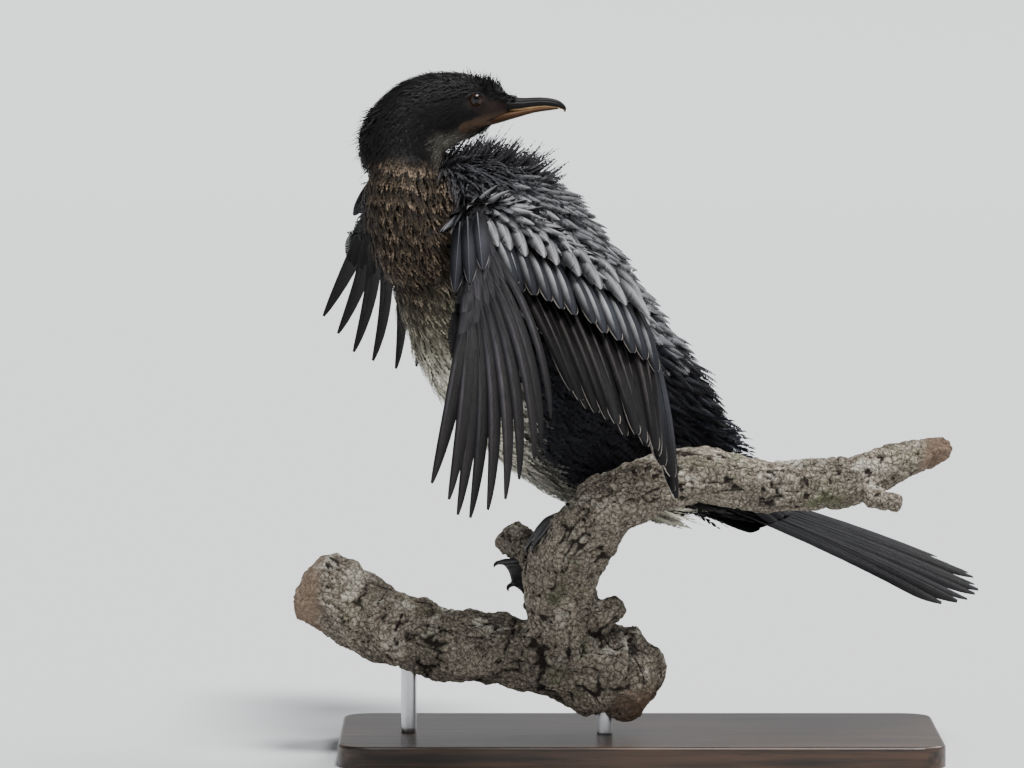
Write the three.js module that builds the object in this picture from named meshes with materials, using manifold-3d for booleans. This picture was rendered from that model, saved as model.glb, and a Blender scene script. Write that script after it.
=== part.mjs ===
// A young long-tailed (reed) cormorant, life size, drying its wings on a cut length of branch.
// The branch is carried by two short rods on a flat base. Millimetres, +Z up.
// The bird faces -X, its left side is towards -Y, and its head looks back over the body, towards +X.
import * as THREE from "three";
import { mergeVertices } from "three/addons/utils/BufferGeometryUtils.js";
import Module from "manifold-3d";

const wasm = await Module();
wasm.setup();

const v = (x, y, z) => new THREE.Vector3(x, y, z);
const GAP = 0.35; // clearance between neighbouring pieces
const UP = v(0, 0, 1);

// Driving sizes of the bird
const BODY_YAW = THREE.MathUtils.degToRad(18); // the breast is turned towards -Y
const BIRD_LEFT = v(Math.sin(BODY_YAW), -Math.cos(BODY_YAW), 0);
const BIRD_BACK = v(Math.cos(BODY_YAW), Math.sin(BODY_YAW), 0);
const HEAD_LEFT = v(0.06, 1, 0); // the head is turned round, so its left side is towards +Y
const EYE_RADIUS = 3.6;
const EYE_CENTRE = v(-73.5, -24, 295.2);
const EYE_SPREAD = 8.6; // from the head's middle to each eye's centre
const FLIGHT_THICK = 0.8;
const COVERT_THICK = 0.9;
const FEATHER_ROLL = 0.22; // radians that each vane is rolled about its shaft, so that it laps its neighbour

// Driving sizes of the stand
const BASE = { length: 270, depth: 130, thick: 10, corner: 14, middle: v(0, 0, 0) };
const ROD_RADIUS = 3.5;

// A surface made of rings of points, each joined to the next; a ring of one point closes an end.
// The second half of each ring is split the other way, so both faces of a thin vane are split alike.
function ringSurface(rings) {
  const points = rings.flat();
  const starts = rings.map((_, i) => rings.slice(0, i).reduce((n, r) => n + r.length, 0));
  const faces = [];
  rings.slice(1).forEach((ring, i) => {
    const before = rings[i];
    const [a, b] = [starts[i], starts[i + 1]];
    const n = Math.max(ring.length, before.length);
    for (let j = 0; j < n; j++) {
      const k = (j + 1) % n;
      if (before.length === 1) faces.push(a, b + k, b + j);
      else if (ring.length === 1) faces.push(a + j, a + k, b);
      else if (j < n / 2) faces.push(a + j, a + k, b + k, a + j, b + k, b + j);
      else faces.push(a + j, a + k, b + j, a + k, b + k, b + j);
    }
  });
  const cap = (start, count, first) => {
    for (let j = 0; j < count / 2 - 1; j++) {
      const [a, b, c, d] = [start + j, start + j + 1, start + count - 2 - j, start + count - 1 - j];
      faces.push(...(first ? [a, c, b, a, d, c] : [a, b, c, a, c, d]));
    }
  };
  if (rings[0].length > 1) cap(0, rings[0].length, true);
  if (rings.at(-1).length > 1) cap(starts.at(-1), rings.at(-1).length, false);
  return new THREE.BufferGeometry().setFromPoints(points).setIndex(faces);
}

// A closed geometry as a solid with its faces pointing out.
function solidOf(geometry) {
  const bare = new THREE.BufferGeometry().setAttribute("position", geometry.getAttribute("position"));
  if (geometry.index) bare.setIndex(geometry.index);
  const merged = mergeVertices(bare, 1e-4);
  const corners = new Uint32Array(merged.index.array);
  const p = merged.attributes.position;
  const [a, b, c] = [v(), v(), v()];
  let volume = 0;
  for (let i = 0; i < corners.length; i += 3) {
    a.fromBufferAttribute(p, corners[i]);
    b.fromBufferAttribute(p, corners[i + 1]);
    c.fromBufferAttribute(p, corners[i + 2]);
    volume += a.dot(b.cross(c));
  }
  if (volume < 0)
    for (let i = 0; i < corners.length; i += 3)
      [corners[i + 1], corners[i + 2]] = [corners[i + 2], corners[i + 1]];
  return new wasm.Manifold(new wasm.Mesh({ numProp: 3, vertProperties: p.array, triVerts: corners }));
}

const join = (solids) => solids.reduce((all, s) => all.add(s));
const largest = (solid) =>
  solid.decompose().reduce((best, s) => (s.volume() > best.volume() ? s : best));

// A tube along stations { at, wide, deep }: wide is the half-width along side, deep the half-depth across it.
// Points and sizes run on smooth curves through the stations; grow swells the tube by that much all round.
function body(stations, side, { steps = 12, sides = 14, grow = 0, lump = () => 1 } = {}) {
  const path = new THREE.CatmullRomCurve3(stations.map((s) => s.at));
  const girth = new THREE.CatmullRomCurve3(stations.map((s) => v(s.wide, s.deep, 0)));
  const rings = [];
  for (let i = 0; i <= steps; i++) {
    const t = i / steps;
    const at = path.getPoint(t);
    const along = path.getTangent(t);
    const across = side.clone().addScaledVector(along, -side.dot(along)).normalize();
    const over = new THREE.Vector3().crossVectors(along, across);
    const size = girth.getPoint(t);
    const ring = [];
    for (let j = 0; j < sides; j++) {
      const turn = (2 * Math.PI * j) / sides;
      const bulge = lump(t, turn);
      ring.push(
        at
          .clone()
          .addScaledVector(across, (size.x * bulge + grow) * Math.cos(turn))
          .addScaledVector(over, (size.y * bulge + grow) * Math.sin(turn)),
      );
    }
    rings.push(ring);
  }
  const first = path.getPoint(0).addScaledVector(path.getTangent(0), -stations[0].deep * 0.35 - grow);
  const last = path.getPoint(1).addScaledVector(path.getTangent(1), stations.at(-1).deep * 0.35 + grow);
  return solidOf(ringSurface([[first], ...rings, [last]]));
}

// One feather as a flat, tapered, closed vane from root to tip. face is the side it shows outwards,
// bow lifts its middle towards face, and roll turns it about its shaft.
const FLIGHT_OUTLINE = [[0, 0.5], [0.45, 1], [0.84, 0.84], [1, 0]];
const COVERT_OUTLINE = [[0, 0.6], [0.55, 1], [0.86, 0.72], [1, 0]];
const TUFT_OUTLINE = [[0, 0.9], [0.5, 0.8], [1, 0]];
function vane({ root, tip, face, width, bow = 0, roll = 0, thick = COVERT_THICK, outline = COVERT_OUTLINE, grow = 0 }) {
  const along = tip.clone().sub(root).normalize();
  const flat = new THREE.Vector3().crossVectors(along, face).normalize();
  const lift = new THREE.Vector3().crossVectors(flat, along).normalize();
  const across = flat.clone().applyAxisAngle(along, roll);
  const outward = lift.clone().applyAxisAngle(along, roll);
  const rings = outline.map(([t, share]) => {
    const at = root.clone().lerp(tip, t).addScaledVector(lift, 4 * bow * t * (1 - t));
    if (share === 0) return [at];
    const w = (width / 2) * share + grow;
    const h = thick / 2 + grow;
    return [[w, h], [-w, h], [-w, -h], [w, -h]].map(([x, z]) =>
      at.clone().addScaledVector(across, x).addScaledVector(outward, z),
    );
  });
  return solidOf(ringSurface(rings));
}

// A row of vanes whose roots and tips lie on two smooth lines, with the widths and the facing blended along it.
// place and turn put points and directions on one wing, and sign is -1 on the right one.
function tier({ count, roots, tips, faces, widths, bow = 0, roll = FEATHER_ROLL, place, turn, sign, ...shape }) {
  const rootLine = new THREE.CatmullRomCurve3(roots);
  const tipLine = new THREE.CatmullRomCurve3(tips);
  return Array.from({ length: count }, (_, i) => {
    const t = count > 1 ? i / (count - 1) : 0;
    return vane({
      root: place(rootLine.getPoint(t)),
      tip: place(tipLine.getPoint(t)),
      face: turn(faces[0].clone().lerp(faces.at(-1), t)).normalize(),
      width: THREE.MathUtils.lerp(widths[0], widths.at(-1), t),
      bow,
      roll: roll * sign,
      ...shape,
    });
  });
}

// Torso, from the root of the neck to the root of the tail
const TORSO = [
  { at: v(-96, -30, 229), wide: 17, deep: 18 },
  { at: v(-89.5, -28, 220.5), wide: 24, deep: 27 },
  { at: v(-67.4, -20, 194.3), wide: 33, deep: 38 },
  { at: v(-40.6, -11, 164.6), wide: 34, deep: 40 },
  { at: v(-13.5, -3, 141.5), wide: 28, deep: 35 },
  { at: v(11.4, 5, 127.3), wide: 21, deep: 25 },
  { at: v(29.7, 11, 119.5), wide: 13, deep: 12 },
];
const MANTLE = [
  { at: v(-95, -30, 245), wide: 18, deep: 15 },
  { at: v(-80, -27, 245), wide: 28, deep: 27 },
  { at: v(-61, -22, 232), wide: 36, deep: 34 },
  { at: v(-38, -14, 208), wide: 35, deep: 33 },
  { at: v(-12, -6, 178), wide: 29, deep: 28 },
  { at: v(9, 1, 155), wide: 22, deep: 24 },
  { at: v(26, 7, 137), wide: 15, deep: 15 },
];
const torsoCore = (grow = 0) =>
  join([body(TORSO, BIRD_LEFT, { steps: 12, sides: 18, grow }), body(MANTLE, BIRD_LEFT, { steps: 10, sides: 16, grow })]);

// Ragged feathers at the rump and vent, which stand off the root of the tail
const TAIL_AXIS = v(125, 30, -46).normalize();
function tufts({ count, middle, spreads, reach, face, width }) {
  return Array.from({ length: count }, (_, i) => {
    const share = count > 1 ? i / (count - 1) - 0.5 : 0;
    const root = middle.clone().addScaledVector(BIRD_LEFT, share * spreads[0]);
    const tip = root.clone().add(reach).addScaledVector(BIRD_LEFT, share * spreads[1]);
    return vane({ root, tip, face, width, thick: 1.6, outline: TUFT_OUTLINE, bow: 1.5 });
  });
}
const RUMP_FACE = v(0.55, 0, 0.83);
const rumpTufts = () => [
  ...tufts({ count: 5, middle: v(12, 4, 153), spreads: [30, 6], reach: v(27, 8, -9), face: RUMP_FACE, width: 9 }),
  ...tufts({ count: 4, middle: v(26, 8, 139), spreads: [20, 6], reach: v(24, 8, -3), face: RUMP_FACE, width: 9 }),
  ...tufts({ count: 4, middle: v(16, 7, 112), spreads: [24, 10], reach: v(31, 8, -5), face: v(0.3, 0, -1), width: 8 }),
  ...tufts({ count: 3, middle: v(-2, 0, 112), spreads: [20, 8], reach: v(27, 7, -7), face: v(0.3, 0, -1), width: 8 }),
];

// Neck, upright and puffed out, in soft rolls
const NECK = [
  { at: v(-92, -30, 222), wide: 20, deep: 22 },
  { at: v(-99.4, -34, 233), wide: 19.5, deep: 20.5 },
  { at: v(-103.8, -34, 248.6), wide: 18, deep: 18.5 },
  { at: v(-105.5, -31, 263.1), wide: 16.5, deep: 18 },
  { at: v(-105.5, -29, 274), wide: 15, deep: 18.5 },
];
const NECK_ROLLS = 4.5;
const neckCore = (grow = 0) =>
  body(NECK, BIRD_LEFT, { steps: 10, sides: 16, grow, lump: (t) => 1 + 0.035 * Math.cos(2 * Math.PI * NECK_ROLLS * t) });

// Head: from the nape, over the crown, to the base of the bill
const HEAD = [
  { at: v(-107, -29, 266), wide: 15.5, deep: 19 },
  { at: v(-105.5, -27, 277), wide: 16, deep: 20.5 },
  { at: v(-98, -26, 286.5), wide: 15, deep: 19.5 },
  { at: v(-86.5, -25, 291), wide: 13.5, deep: 17.6 },
  { at: v(-75, -24, 292.4), wide: 11.5, deep: 14.5 },
  { at: v(-66, -24, 293.2), wide: 8.6, deep: 10.2 },
  { at: v(-60.5, -24, 292.4), wide: 5.8, deep: 6.4 },
];
const headCore = (grow = 0) => body(HEAD, HEAD_LEFT, { steps: 13, sides: 16, grow });
const eyeAt = (sign) => EYE_CENTRE.clone().addScaledVector(HEAD_LEFT, sign * EYE_SPREAD);

// Ring of skin round each eye, which the eye sits in
function lids(sign) {
  const ring = new THREE.TorusGeometry(EYE_RADIUS - 0.1, 1.15, 5, 14);
  ring.rotateX(Math.PI / 2);
  ring.rotateZ(sign * -0.12);
  const at = eyeAt(sign).addScaledVector(HEAD_LEFT, sign * 1.5);
  return solidOf(ring.translate(at.x, at.y, at.z));
}
const CREST_COUNT = 7;
const crest = () =>
  Array.from({ length: CREST_COUNT }, (_, i) => {
    const t = i / (CREST_COUNT - 1);
    const root = v(-84 + 15 * t, -24 + (i % 2 ? 3 : -3), 304 - 4.5 * t);
    const tip = root.clone().add(v(-3 + 4.5 * t, (i % 2 ? 1 : -1) * 1.2, 8.5 - 1.5 * t));
    return vane({ root, tip, face: v(0.2, 1, 0.2), width: 4.5, thick: 1.4, outline: TUFT_OUTLINE });
  });
const NAPE_TUFTS = 4;
const napeTufts = (grow = 0) =>
  Array.from({ length: NAPE_TUFTS }, (_, i) => {
    const t = i / (NAPE_TUFTS - 1);
    const root = v(-119 - 3.5 * Math.sin(Math.PI * t), -28 + (i % 2 ? 4 : -4), 289 - 15 * t);
    const tip = root.clone().add(v(-7 - grow, 0, -3 - 4 * t));
    return vane({ root, tip, face: v(-0.5, 0.2, 1), width: 7, thick: 1.6, outline: TUFT_OUTLINE, grow });
  });

// Bill: two long tapered halves that meet along the line of the mouth, the upper one hooked
const BILL_UPPER = [
  { at: v(-70, -24, 292.6), wide: 5.2, deep: 4.2 },
  { at: v(-62, -24, 292.8), wide: 4.6, deep: 3.9 },
  { at: v(-53, -23.4, 293.2), wide: 3.3, deep: 2.7 },
  { at: v(-44.5, -22.8, 294), wide: 2.5, deep: 2.1 },
  { at: v(-38, -22.4, 293.4), wide: 2, deep: 1.9 },
  { at: v(-34.6, -22.2, 291.4), wide: 1.4, deep: 1.3 },
  { at: v(-34, -22.2, 289.6), wide: 0.6, deep: 0.6 },
];
const BILL_LOWER = [
  { at: v(-74, -24, 285.6), wide: 5.4, deep: 3.7 },
  { at: v(-66, -24, 286.6), wide: 4.6, deep: 2.9 },
  { at: v(-57, -23.6, 288.2), wide: 3.4, deep: 1.9 },
  { at: v(-48, -23, 290.2), wide: 2.4, deep: 1.2 },
  { at: v(-41, -22.6, 291), wide: 1.8, deep: 0.9 },
  { at: v(-37.2, -22.4, 291), wide: 1.2, deep: 0.6 },
];
const billUpperCore = (grow = 0) => body(BILL_UPPER, HEAD_LEFT, { steps: 10, sides: 10, grow });
const billLowerCore = (grow = 0) => body(BILL_LOWER, HEAD_LEFT, { steps: 8, sides: 10, grow });

// Left wing, in world millimetres. The right one is its mirror, opened further.
const SHOULDER = v(-72, -48, 240);
const ARM_PAD = [
  { at: v(-80, -62, 245), wide: 22, deep: 6 },
  { at: v(-66, -59, 242), wide: 27, deep: 9 },
  { at: v(-46, -60, 230), wide: 23, deep: 10 },
  { at: v(-24, -64, 216), wide: 14, deep: 8 },
  { at: v(-6, -67, 204), wide: 8, deep: 6 },
  { at: v(0, -68, 200), wide: 4, deep: 3 },
];
const ARM_SIDE = v(0.15, -0.9, 0.25);
const OUT_UP = v(0.1, -0.72, 0.6); // outward face of the arm's coverts
const OUT = v(0.1, -0.86, 0.5); // outward face of the flight feathers

const ARM_TIERS = [
  { count: 12, outline: FLIGHT_OUTLINE, thick: FLIGHT_THICK, bow: 5, widths: [13, 12.5], faces: [OUT, v(0.3, -0.85, 0.4)],
    roots: [v(-66, -80, 238), v(-36.6, -76, 220), v(-3, -71, 203)],
    tips: [v(-31.7, -125, 170.5), v(-18.4, -127, 159.9), v(-3, -122, 150.5), v(5, -110, 143)] },
  { count: 3, outline: FLIGHT_OUTLINE, thick: FLIGHT_THICK, bow: 4, widths: [12, 11], faces: [v(0.3, -0.85, 0.4), v(0.6, -0.75, 0.3)],
    roots: [v(-2.5, -70, 201), v(1, -67, 199), v(2, -63, 197)], tips: [v(8.5, -103, 138), v(12, -90, 128), v(13, -77, 120)] },
  { count: 10, bow: 3, widths: [11, 10.5], faces: [OUT_UP, OUT],
    roots: [v(-68, -81, 241), v(-38, -76, 224), v(-5, -71, 206)],
    tips: [v(-57.6, -107, 216.8), v(-38.9, -107, 207), v(-15, -103, 195), v(4.4, -91, 177)] },
  { count: 7, bow: 2.5, widths: [12, 11], faces: [OUT_UP, OUT_UP],
    roots: [v(-72, -80, 247), v(-45, -72, 236), v(-14, -66, 219)],
    tips: [v(-63, -96, 232), v(-36.7, -93, 223), v(1.5, -83, 199)] },
  { count: 6, bow: 2, widths: [12, 12], faces: [v(0, -0.6, 0.8), v(0, -0.6, 0.8)],
    roots: [v(-74, -70, 250), v(-50, -62, 245), v(-23, -56, 232)],
    tips: [v(-61, -86, 243), v(-34, -79, 236), v(0, -70, 213)] },
  { count: 5, bow: 2, widths: [14, 14], faces: [v(0.1, -0.4, 0.9), v(0.25, -0.35, 0.9)],
    roots: [v(-76, -52, 254), v(-58, -44, 255), v(-36, -40, 245)],
    tips: [v(-56, -64, 259), v(-28, -54, 253), v(3, -46, 230)] },
];
// Places on the right wing: mirrored across the body and lifted at the shoulder
const SPINE_POINT = v(-80.4, -22, 240);
const WING_LIFT = THREE.MathUtils.degToRad(24);
const mirror = (d) => d.clone().addScaledVector(BIRD_LEFT, -2 * d.dot(BIRD_LEFT));
const mirrorPoint = (p) => mirror(p.clone().sub(SPINE_POINT)).add(SPINE_POINT);
const rightShoulder = mirrorPoint(SHOULDER);
const inPlace = { place: (p) => p.clone(), turn: (d) => d.clone() };
const leftWing = { ...inPlace, sign: 1 };
const rightWing = {
  place: (p) => mirrorPoint(p).sub(rightShoulder).applyAxisAngle(BIRD_BACK, WING_LIFT).add(rightShoulder),
  turn: (d) => mirror(d).applyAxisAngle(BIRD_BACK, WING_LIFT),
  sign: -1,
};
const armCore = (where, grow = 0) => {
  const stations = ARM_PAD.map((s) => ({ ...s, at: where.place(s.at) }));
  return body(stations, where.turn(ARM_SIDE), { steps: 9, sides: 12, grow });
};
const arm = (where, grow = 0) =>
  join([armCore(where, grow), ...ARM_TIERS.flatMap((row) => tier({ ...row, ...where, grow }))]);

// Hands: the bone from wrist to end, with ten primaries from the leading edge back, their coverts and the thumb's
// feathers. tips is the line of the primaries' tips, and each row of coverts ends some way along them.
const LEFT_HAND = {
  wrist: v(-74, -86, 244), end: v(-78.7, -128, 209.5), across: v(0.9, 0.3, 0.2), sign: 1,
  tips: [v(-91.1, -205, 137.8), v(-79.7, -213, 123), v(-64, -203, 129), v(-50.3, -180, 142.8), v(-40.9, -148, 160)],
  faces: [v(-0.25, -0.78, 0.55), v(0.4, -0.75, 0.55)],
};
const RIGHT_HAND = {
  wrist: rightWing.place(v(-74, -86, 244)), end: v(-128, 79, 232), across: v(0.85, -0.5, 0), sign: -1,
  tips: [v(-149, 178, 185), v(-131, 187, 167.6), v(-108.5, 178, 161), v(-88, 152, 168), v(-73, 114, 188)],
  faces: [v(-0.1, 0.5, 0.85), v(0.5, 0.4, 0.75)],
};
function hand({ wrist, end, across, tips, faces, sign }, grow = 0) {
  const along = end.clone().sub(wrist).normalize();
  const lift = faces[0].clone().add(faces[1]).normalize();
  const bone = [
    { at: wrist.clone().addScaledVector(along, -1), wide: 6.5, deep: 5 },
    { at: wrist.clone().lerp(end, 0.5), wide: 6, deep: 4.5 },
    { at: end, wide: 4.5, deep: 3.2 },
    { at: end.clone().addScaledVector(along, 12), wide: 2, deep: 1.5 },
  ];
  const onBone = (t, aside, up) =>
    wrist.clone().lerp(end, t).addScaledVector(across, aside).addScaledVector(lift, up);
  const roots = (aside, up) => [onBone(0.98, aside, up), onBone(0.55, aside, up), onBone(0.12, aside, up)];
  const part = (starts, shares) => tips.map((tip, i) => {
    const t = i / (tips.length - 1);
    const start = new THREE.CatmullRomCurve3(starts).getPoint(t);
    return start.lerp(tip, THREE.MathUtils.lerp(shares[0], shares[1], t));
  });
  const row = (more) => tier({ ...inPlace, sign, faces, roll: 0.3, grow, ...more });
  return join([
    body(bone, across, { steps: 6, sides: 10, grow }),
    ...row({ count: 10, outline: FLIGHT_OUTLINE, thick: FLIGHT_THICK, bow: 9, widths: [9.5, 12], roots: roots(1, 0), tips }),
    ...row({ count: 8, bow: 3, widths: [8.5, 10], roots: roots(2, 3), tips: part(roots(2, 3), [0.3, 0.48]) }),
    ...row({ count: 3, bow: 3, widths: [9, 9], roots: [onBone(0.1, -7, 2), onBone(0.05, -3, 4), onBone(0, 1, 5)],
      tips: [onBone(0.95, -5, 3), onBone(0.9, 2, 5), onBone(0.75, 9, 5)] }),
  ]);
}

// Tail: long stiff feathers in a wedge, the outer ones shorter, in one shallow fan
const TAIL_ROOT = v(25, 9.5, 121.5);
const TAIL_FEATHERS = 11;
const TAIL_LENGTH = 143;
const TAIL_SPREAD = THREE.MathUtils.degToRad(36); // from one outer feather to the other
const TAIL_UP = new THREE.Vector3().crossVectors(TAIL_AXIS, BIRD_LEFT).normalize().multiplyScalar(-1);
function tailSolid(grow = 0) {
  const stump = body(
    [
      { at: TAIL_ROOT.clone().addScaledVector(TAIL_AXIS, -6), wide: 9, deep: 7 },
      { at: TAIL_ROOT.clone().addScaledVector(TAIL_AXIS, 8), wide: 10, deep: 6 },
      { at: TAIL_ROOT.clone().addScaledVector(TAIL_AXIS, 22), wide: 8, deep: 3 },
    ],
    BIRD_LEFT, { steps: 4, sides: 10, grow },
  );
  const vanes = Array.from({ length: TAIL_FEATHERS }, (_, i) => {
    const share = i / (TAIL_FEATHERS - 1) - 0.5;
    const aim = TAIL_AXIS.clone().applyAxisAngle(TAIL_UP, -share * TAIL_SPREAD);
    const root = TAIL_ROOT.clone().addScaledVector(BIRD_LEFT, share * 15).addScaledVector(TAIL_AXIS, 4);
    const droop = -14 * share * share;
    const length = TAIL_LENGTH * (1 - 1.15 * share * share);
    const tip = root.clone().addScaledVector(aim, length).addScaledVector(TAIL_UP, droop);
    return vane({ root, tip, face: TAIL_UP, width: 11, thick: 1, bow: 2.5, roll: share === 0 ? 0 : Math.sign(share) * -0.24,
      outline: FLIGHT_OUTLINE, grow });
  });
  return join([stump, ...vanes]);
}

// Branch: the cut main limb, its broken knob, the limb that rises from it, and three broken stubs
const MAIN_LIMB = [
  { at: v(-146, -4, 76), wide: 17.5, deep: 18 },
  { at: v(-122.8, -8, 62.9), wide: 17, deep: 17.5 },
  { at: v(-98.5, -12, 52.9), wide: 16.5, deep: 17 },
  { at: v(-74.7, -14, 49), wide: 16, deep: 16.5 },
  { at: v(-50.4, -15, 46.4), wide: 17, deep: 17 },
  { at: v(-31.6, -16, 42.4), wide: 19, deep: 19.5 },
  { at: v(-13.6, -16, 39), wide: 21, deep: 22 },
  { at: v(0, -16, 39.8), wide: 18, deep: 19 },
  { at: v(7, -16, 41), wide: 9, deep: 11 },
];
const RISING_LIMB = [
  { at: v(-31, -16, 50), wide: 17, deep: 17 },
  { at: v(-36, -22, 71.1), wide: 16.5, deep: 17 },
  { at: v(-33.5, -30, 88.3), wide: 16, deep: 17 },
  { at: v(-25.1, -38, 102.8), wide: 15.5, deep: 16 },
  { at: v(-13.1, -43, 115.3), wide: 14.5, deep: 15 },
  { at: v(3.7, -45, 124.9), wide: 13.5, deep: 13.5 },
  { at: v(25.9, -45, 128.6), wide: 13, deep: 13 },
  { at: v(52.5, -44, 124.9), wide: 12, deep: 12 },
  { at: v(79.3, -42, 124.3), wide: 11.5, deep: 12 },
  { at: v(97.2, -40, 127.7), wide: 10.5, deep: 11 },
  { at: v(115, -38, 134.2), wide: 8.5, deep: 9 },
  { at: v(130.7, -36, 139.4), wide: 6.5, deep: 7 },
  { at: v(137, -35, 140.5), wide: 4, deep: 4.5 },
];
const STUBS = [
  [v(-41, -18, 86), v(-50, -8, 92), v(-59, 0, 98), 9, 8.2], // behind the rising limb
  [v(95, -42, 126), v(104, -48, 119), v(114, -52, 117.3), 6, 4], // the small fork
  [v(-20, -28, 64), v(-14, -30, 67), v(-9, -31, 70), 8, 5], // a knot in the crook
  [v(-10, -16, 30), v(-6, -18, 25), v(-3, -20, 21), 12, 9], // the broken foot of the knob
];
const BARK_LUMP = 0.06;
const bark = (seed) => (t, turn) =>
  1 + BARK_LUMP * (Math.sin(3 * turn + 37 * t + seed) + 0.6 * Math.sin(5 * turn - 61 * t + 2 * seed));
const perchSolid = (grow = 0) =>
  join([
    body(MAIN_LIMB, v(0, 1, 0), { steps: 16, sides: 12, grow, lump: bark(1) }),
    body(RISING_LIMB, v(0, 1, 0), { steps: 24, sides: 11, grow, lump: bark(4) }),
    ...STUBS.map(([from, middle, to, thick, thin], i) =>
      body(
        [
          { at: from, wide: thick, deep: thick },
          { at: middle, wide: (thick + thin) / 2, deep: (thick + thin) / 2 },
          { at: to, wide: thin, deep: thin },
        ],
        v(0, 1, 0.01), { steps: 4, sides: 9, grow, lump: bark(7 + i) },
      ),
    ),
  ]);

// Legs: a feathered thigh and a short scaly shank each
const LEFT_LEG = [
  { at: v(-16, -20, 132), wide: 12, deep: 12 },
  { at: v(-20, -20, 121), wide: 8, deep: 8.5 },
  { at: v(-24, -20.5, 114), wide: 3.6, deep: 3.6 },
  { at: v(-29.5, -22, 110.5), wide: 2.6, deep: 2.6 },
];
const RIGHT_LEG = [
  { at: v(-14, 18, 126), wide: 12, deep: 12 },
  { at: v(-20, 15, 110), wide: 8.5, deep: 9 },
  { at: v(-27, 8, 99), wide: 3.8, deep: 3.8 },
  { at: v(-37, -3, 88), wide: 2.7, deep: 2.7 },
];
const legCore = (stations, grow = 0) => body(stations, v(0, 1, 0.1), { steps: 7, sides: 10, grow });

// Feet: four toes in one fan, joined by a web, bent over the limb that they grip.
// Across each ring the top runs toe, web, toe, web, toe, web, toe, and the sole runs back the same way.
const TOE_RADIUS = 1.8;
const WEB_RADIUS = 0.7;
const WEB_SCALLOP = 0.14; // share of the toe's length that the web's edge stays back between two toes
const FOOT_STEPS = [0, 0.25, 0.5, 0.75, 1];
function foot(ankle, knuckles, tips) {
  const toes = tips.map((tip, i) => new THREE.QuadraticBezierCurve3(ankle, knuckles[i], tip));
  const spread = tips.at(-1).clone().sub(tips[0]).normalize();
  const rings = FOOT_STEPS.map((t) => {
    const row = toes.map((toe, i) =>
      toe.getPoint(t).addScaledVector(spread, (1 - t) * TOE_RADIUS * (i - (toes.length - 1) / 2)),
    );
    const line = row.flatMap((p, i) => {
      if (i === 0) return [{ at: p, half: TOE_RADIUS * (1 - 0.3 * t), toe: 0 }];
      const back = t * WEB_SCALLOP;
      const web = row[i - 1].clone().lerp(p, 0.5).lerp(ankle, back);
      return [{ at: web, half: WEB_RADIUS, toe: i - 0.5 }, { at: p, half: TOE_RADIUS * (1 - 0.3 * t), toe: i }];
    });
    const sides = line.map(({ at, half }, i) => {
      const across = line[Math.min(i + 1, line.length - 1)].at.clone().sub(line[Math.max(i - 1, 0)].at);
      const along = toes[Math.min(Math.round(i / 2), toes.length - 1)].getTangent(t);
      return { at, lift: new THREE.Vector3().crossVectors(across, along).normalize().multiplyScalar(half) };
    });
    return [
      ...sides.map(({ at, lift }) => at.clone().add(lift)),
      ...sides.toReversed().map(({ at, lift }) => at.clone().sub(lift)),
    ];
  });
  const claws = tips.map((tip, i) => {
    const aim = toes[i].getTangent(1);
    return vane({ root: tip.clone().addScaledVector(aim, -2), tip: tip.clone().addScaledVector(aim, 6), face: UP,
      width: 2.2, thick: 1.7, outline: TUFT_OUTLINE });
  });
  return join([solidOf(ringSurface(rings)), ...claws]);
}
const LEFT_ANKLE = v(-30, -22.5, 110.5);
const leftFoot = () =>
  foot(
    LEFT_ANKLE,
    [v(-40, -19, 107), v(-42, -25, 107), v(-40, -32, 107), v(-30, -36, 113)],
    [v(-48, -15, 96), v(-50.5, -24, 96), v(-48, -34, 97), v(-33, -47, 116)],
  );
const RIGHT_ANKLE = v(-38, -4.5, 87.5);
const rightFoot = () =>
  foot(
    RIGHT_ANKLE,
    [v(-31, -7, 79), v(-44, -8, 75), v(-51, -9, 80), v(-52, -10, 88)],
    [v(-30, -8, 68), v(-51, -12, 69), v(-58, -12, 77), v(-63, -11, 87)],
  );

// Display stand
function baseSolid() {
  const { length, depth, thick, corner, middle } = BASE;
  const outline = new THREE.Shape();
  const [x, y] = [length / 2, depth / 2];
  outline.moveTo(-x + corner, -y);
  outline.lineTo(x - corner, -y);
  outline.absarc(x - corner, -y + corner, corner, -Math.PI / 2, 0);
  outline.absarc(x - corner, y - corner, corner, 0, Math.PI / 2);
  outline.absarc(-x + corner, y - corner, corner, Math.PI / 2, Math.PI);
  outline.absarc(-x + corner, -y + corner, corner, Math.PI, 1.5 * Math.PI);
  const bevel = 1.5;
  const plate = new THREE.ExtrudeGeometry(outline, {
    depth: thick - 2 * bevel, curveSegments: 6, bevelThickness: bevel, bevelSize: bevel, bevelOffset: -bevel, bevelSegments: 1,
  });
  return solidOf(plate.translate(middle.x, middle.y, bevel));
}
const RODS = { stand_rod_knob: v(-16, -16, 0), stand_rod_limb: v(-104, -11, 0) };
const ROD_TOP = { stand_rod_knob: 34, stand_rod_limb: 48 };
function rodSolid(name) {
  const low = BASE.thick + GAP;
  const height = ROD_TOP[name] - low;
  const rod = new THREE.CylinderGeometry(ROD_RADIUS, ROD_RADIUS, height, 20);
  rod.rotateX(Math.PI / 2).translate(RODS[name].x, RODS[name].y, low + height / 2);
  return solidOf(rod);
}

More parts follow.
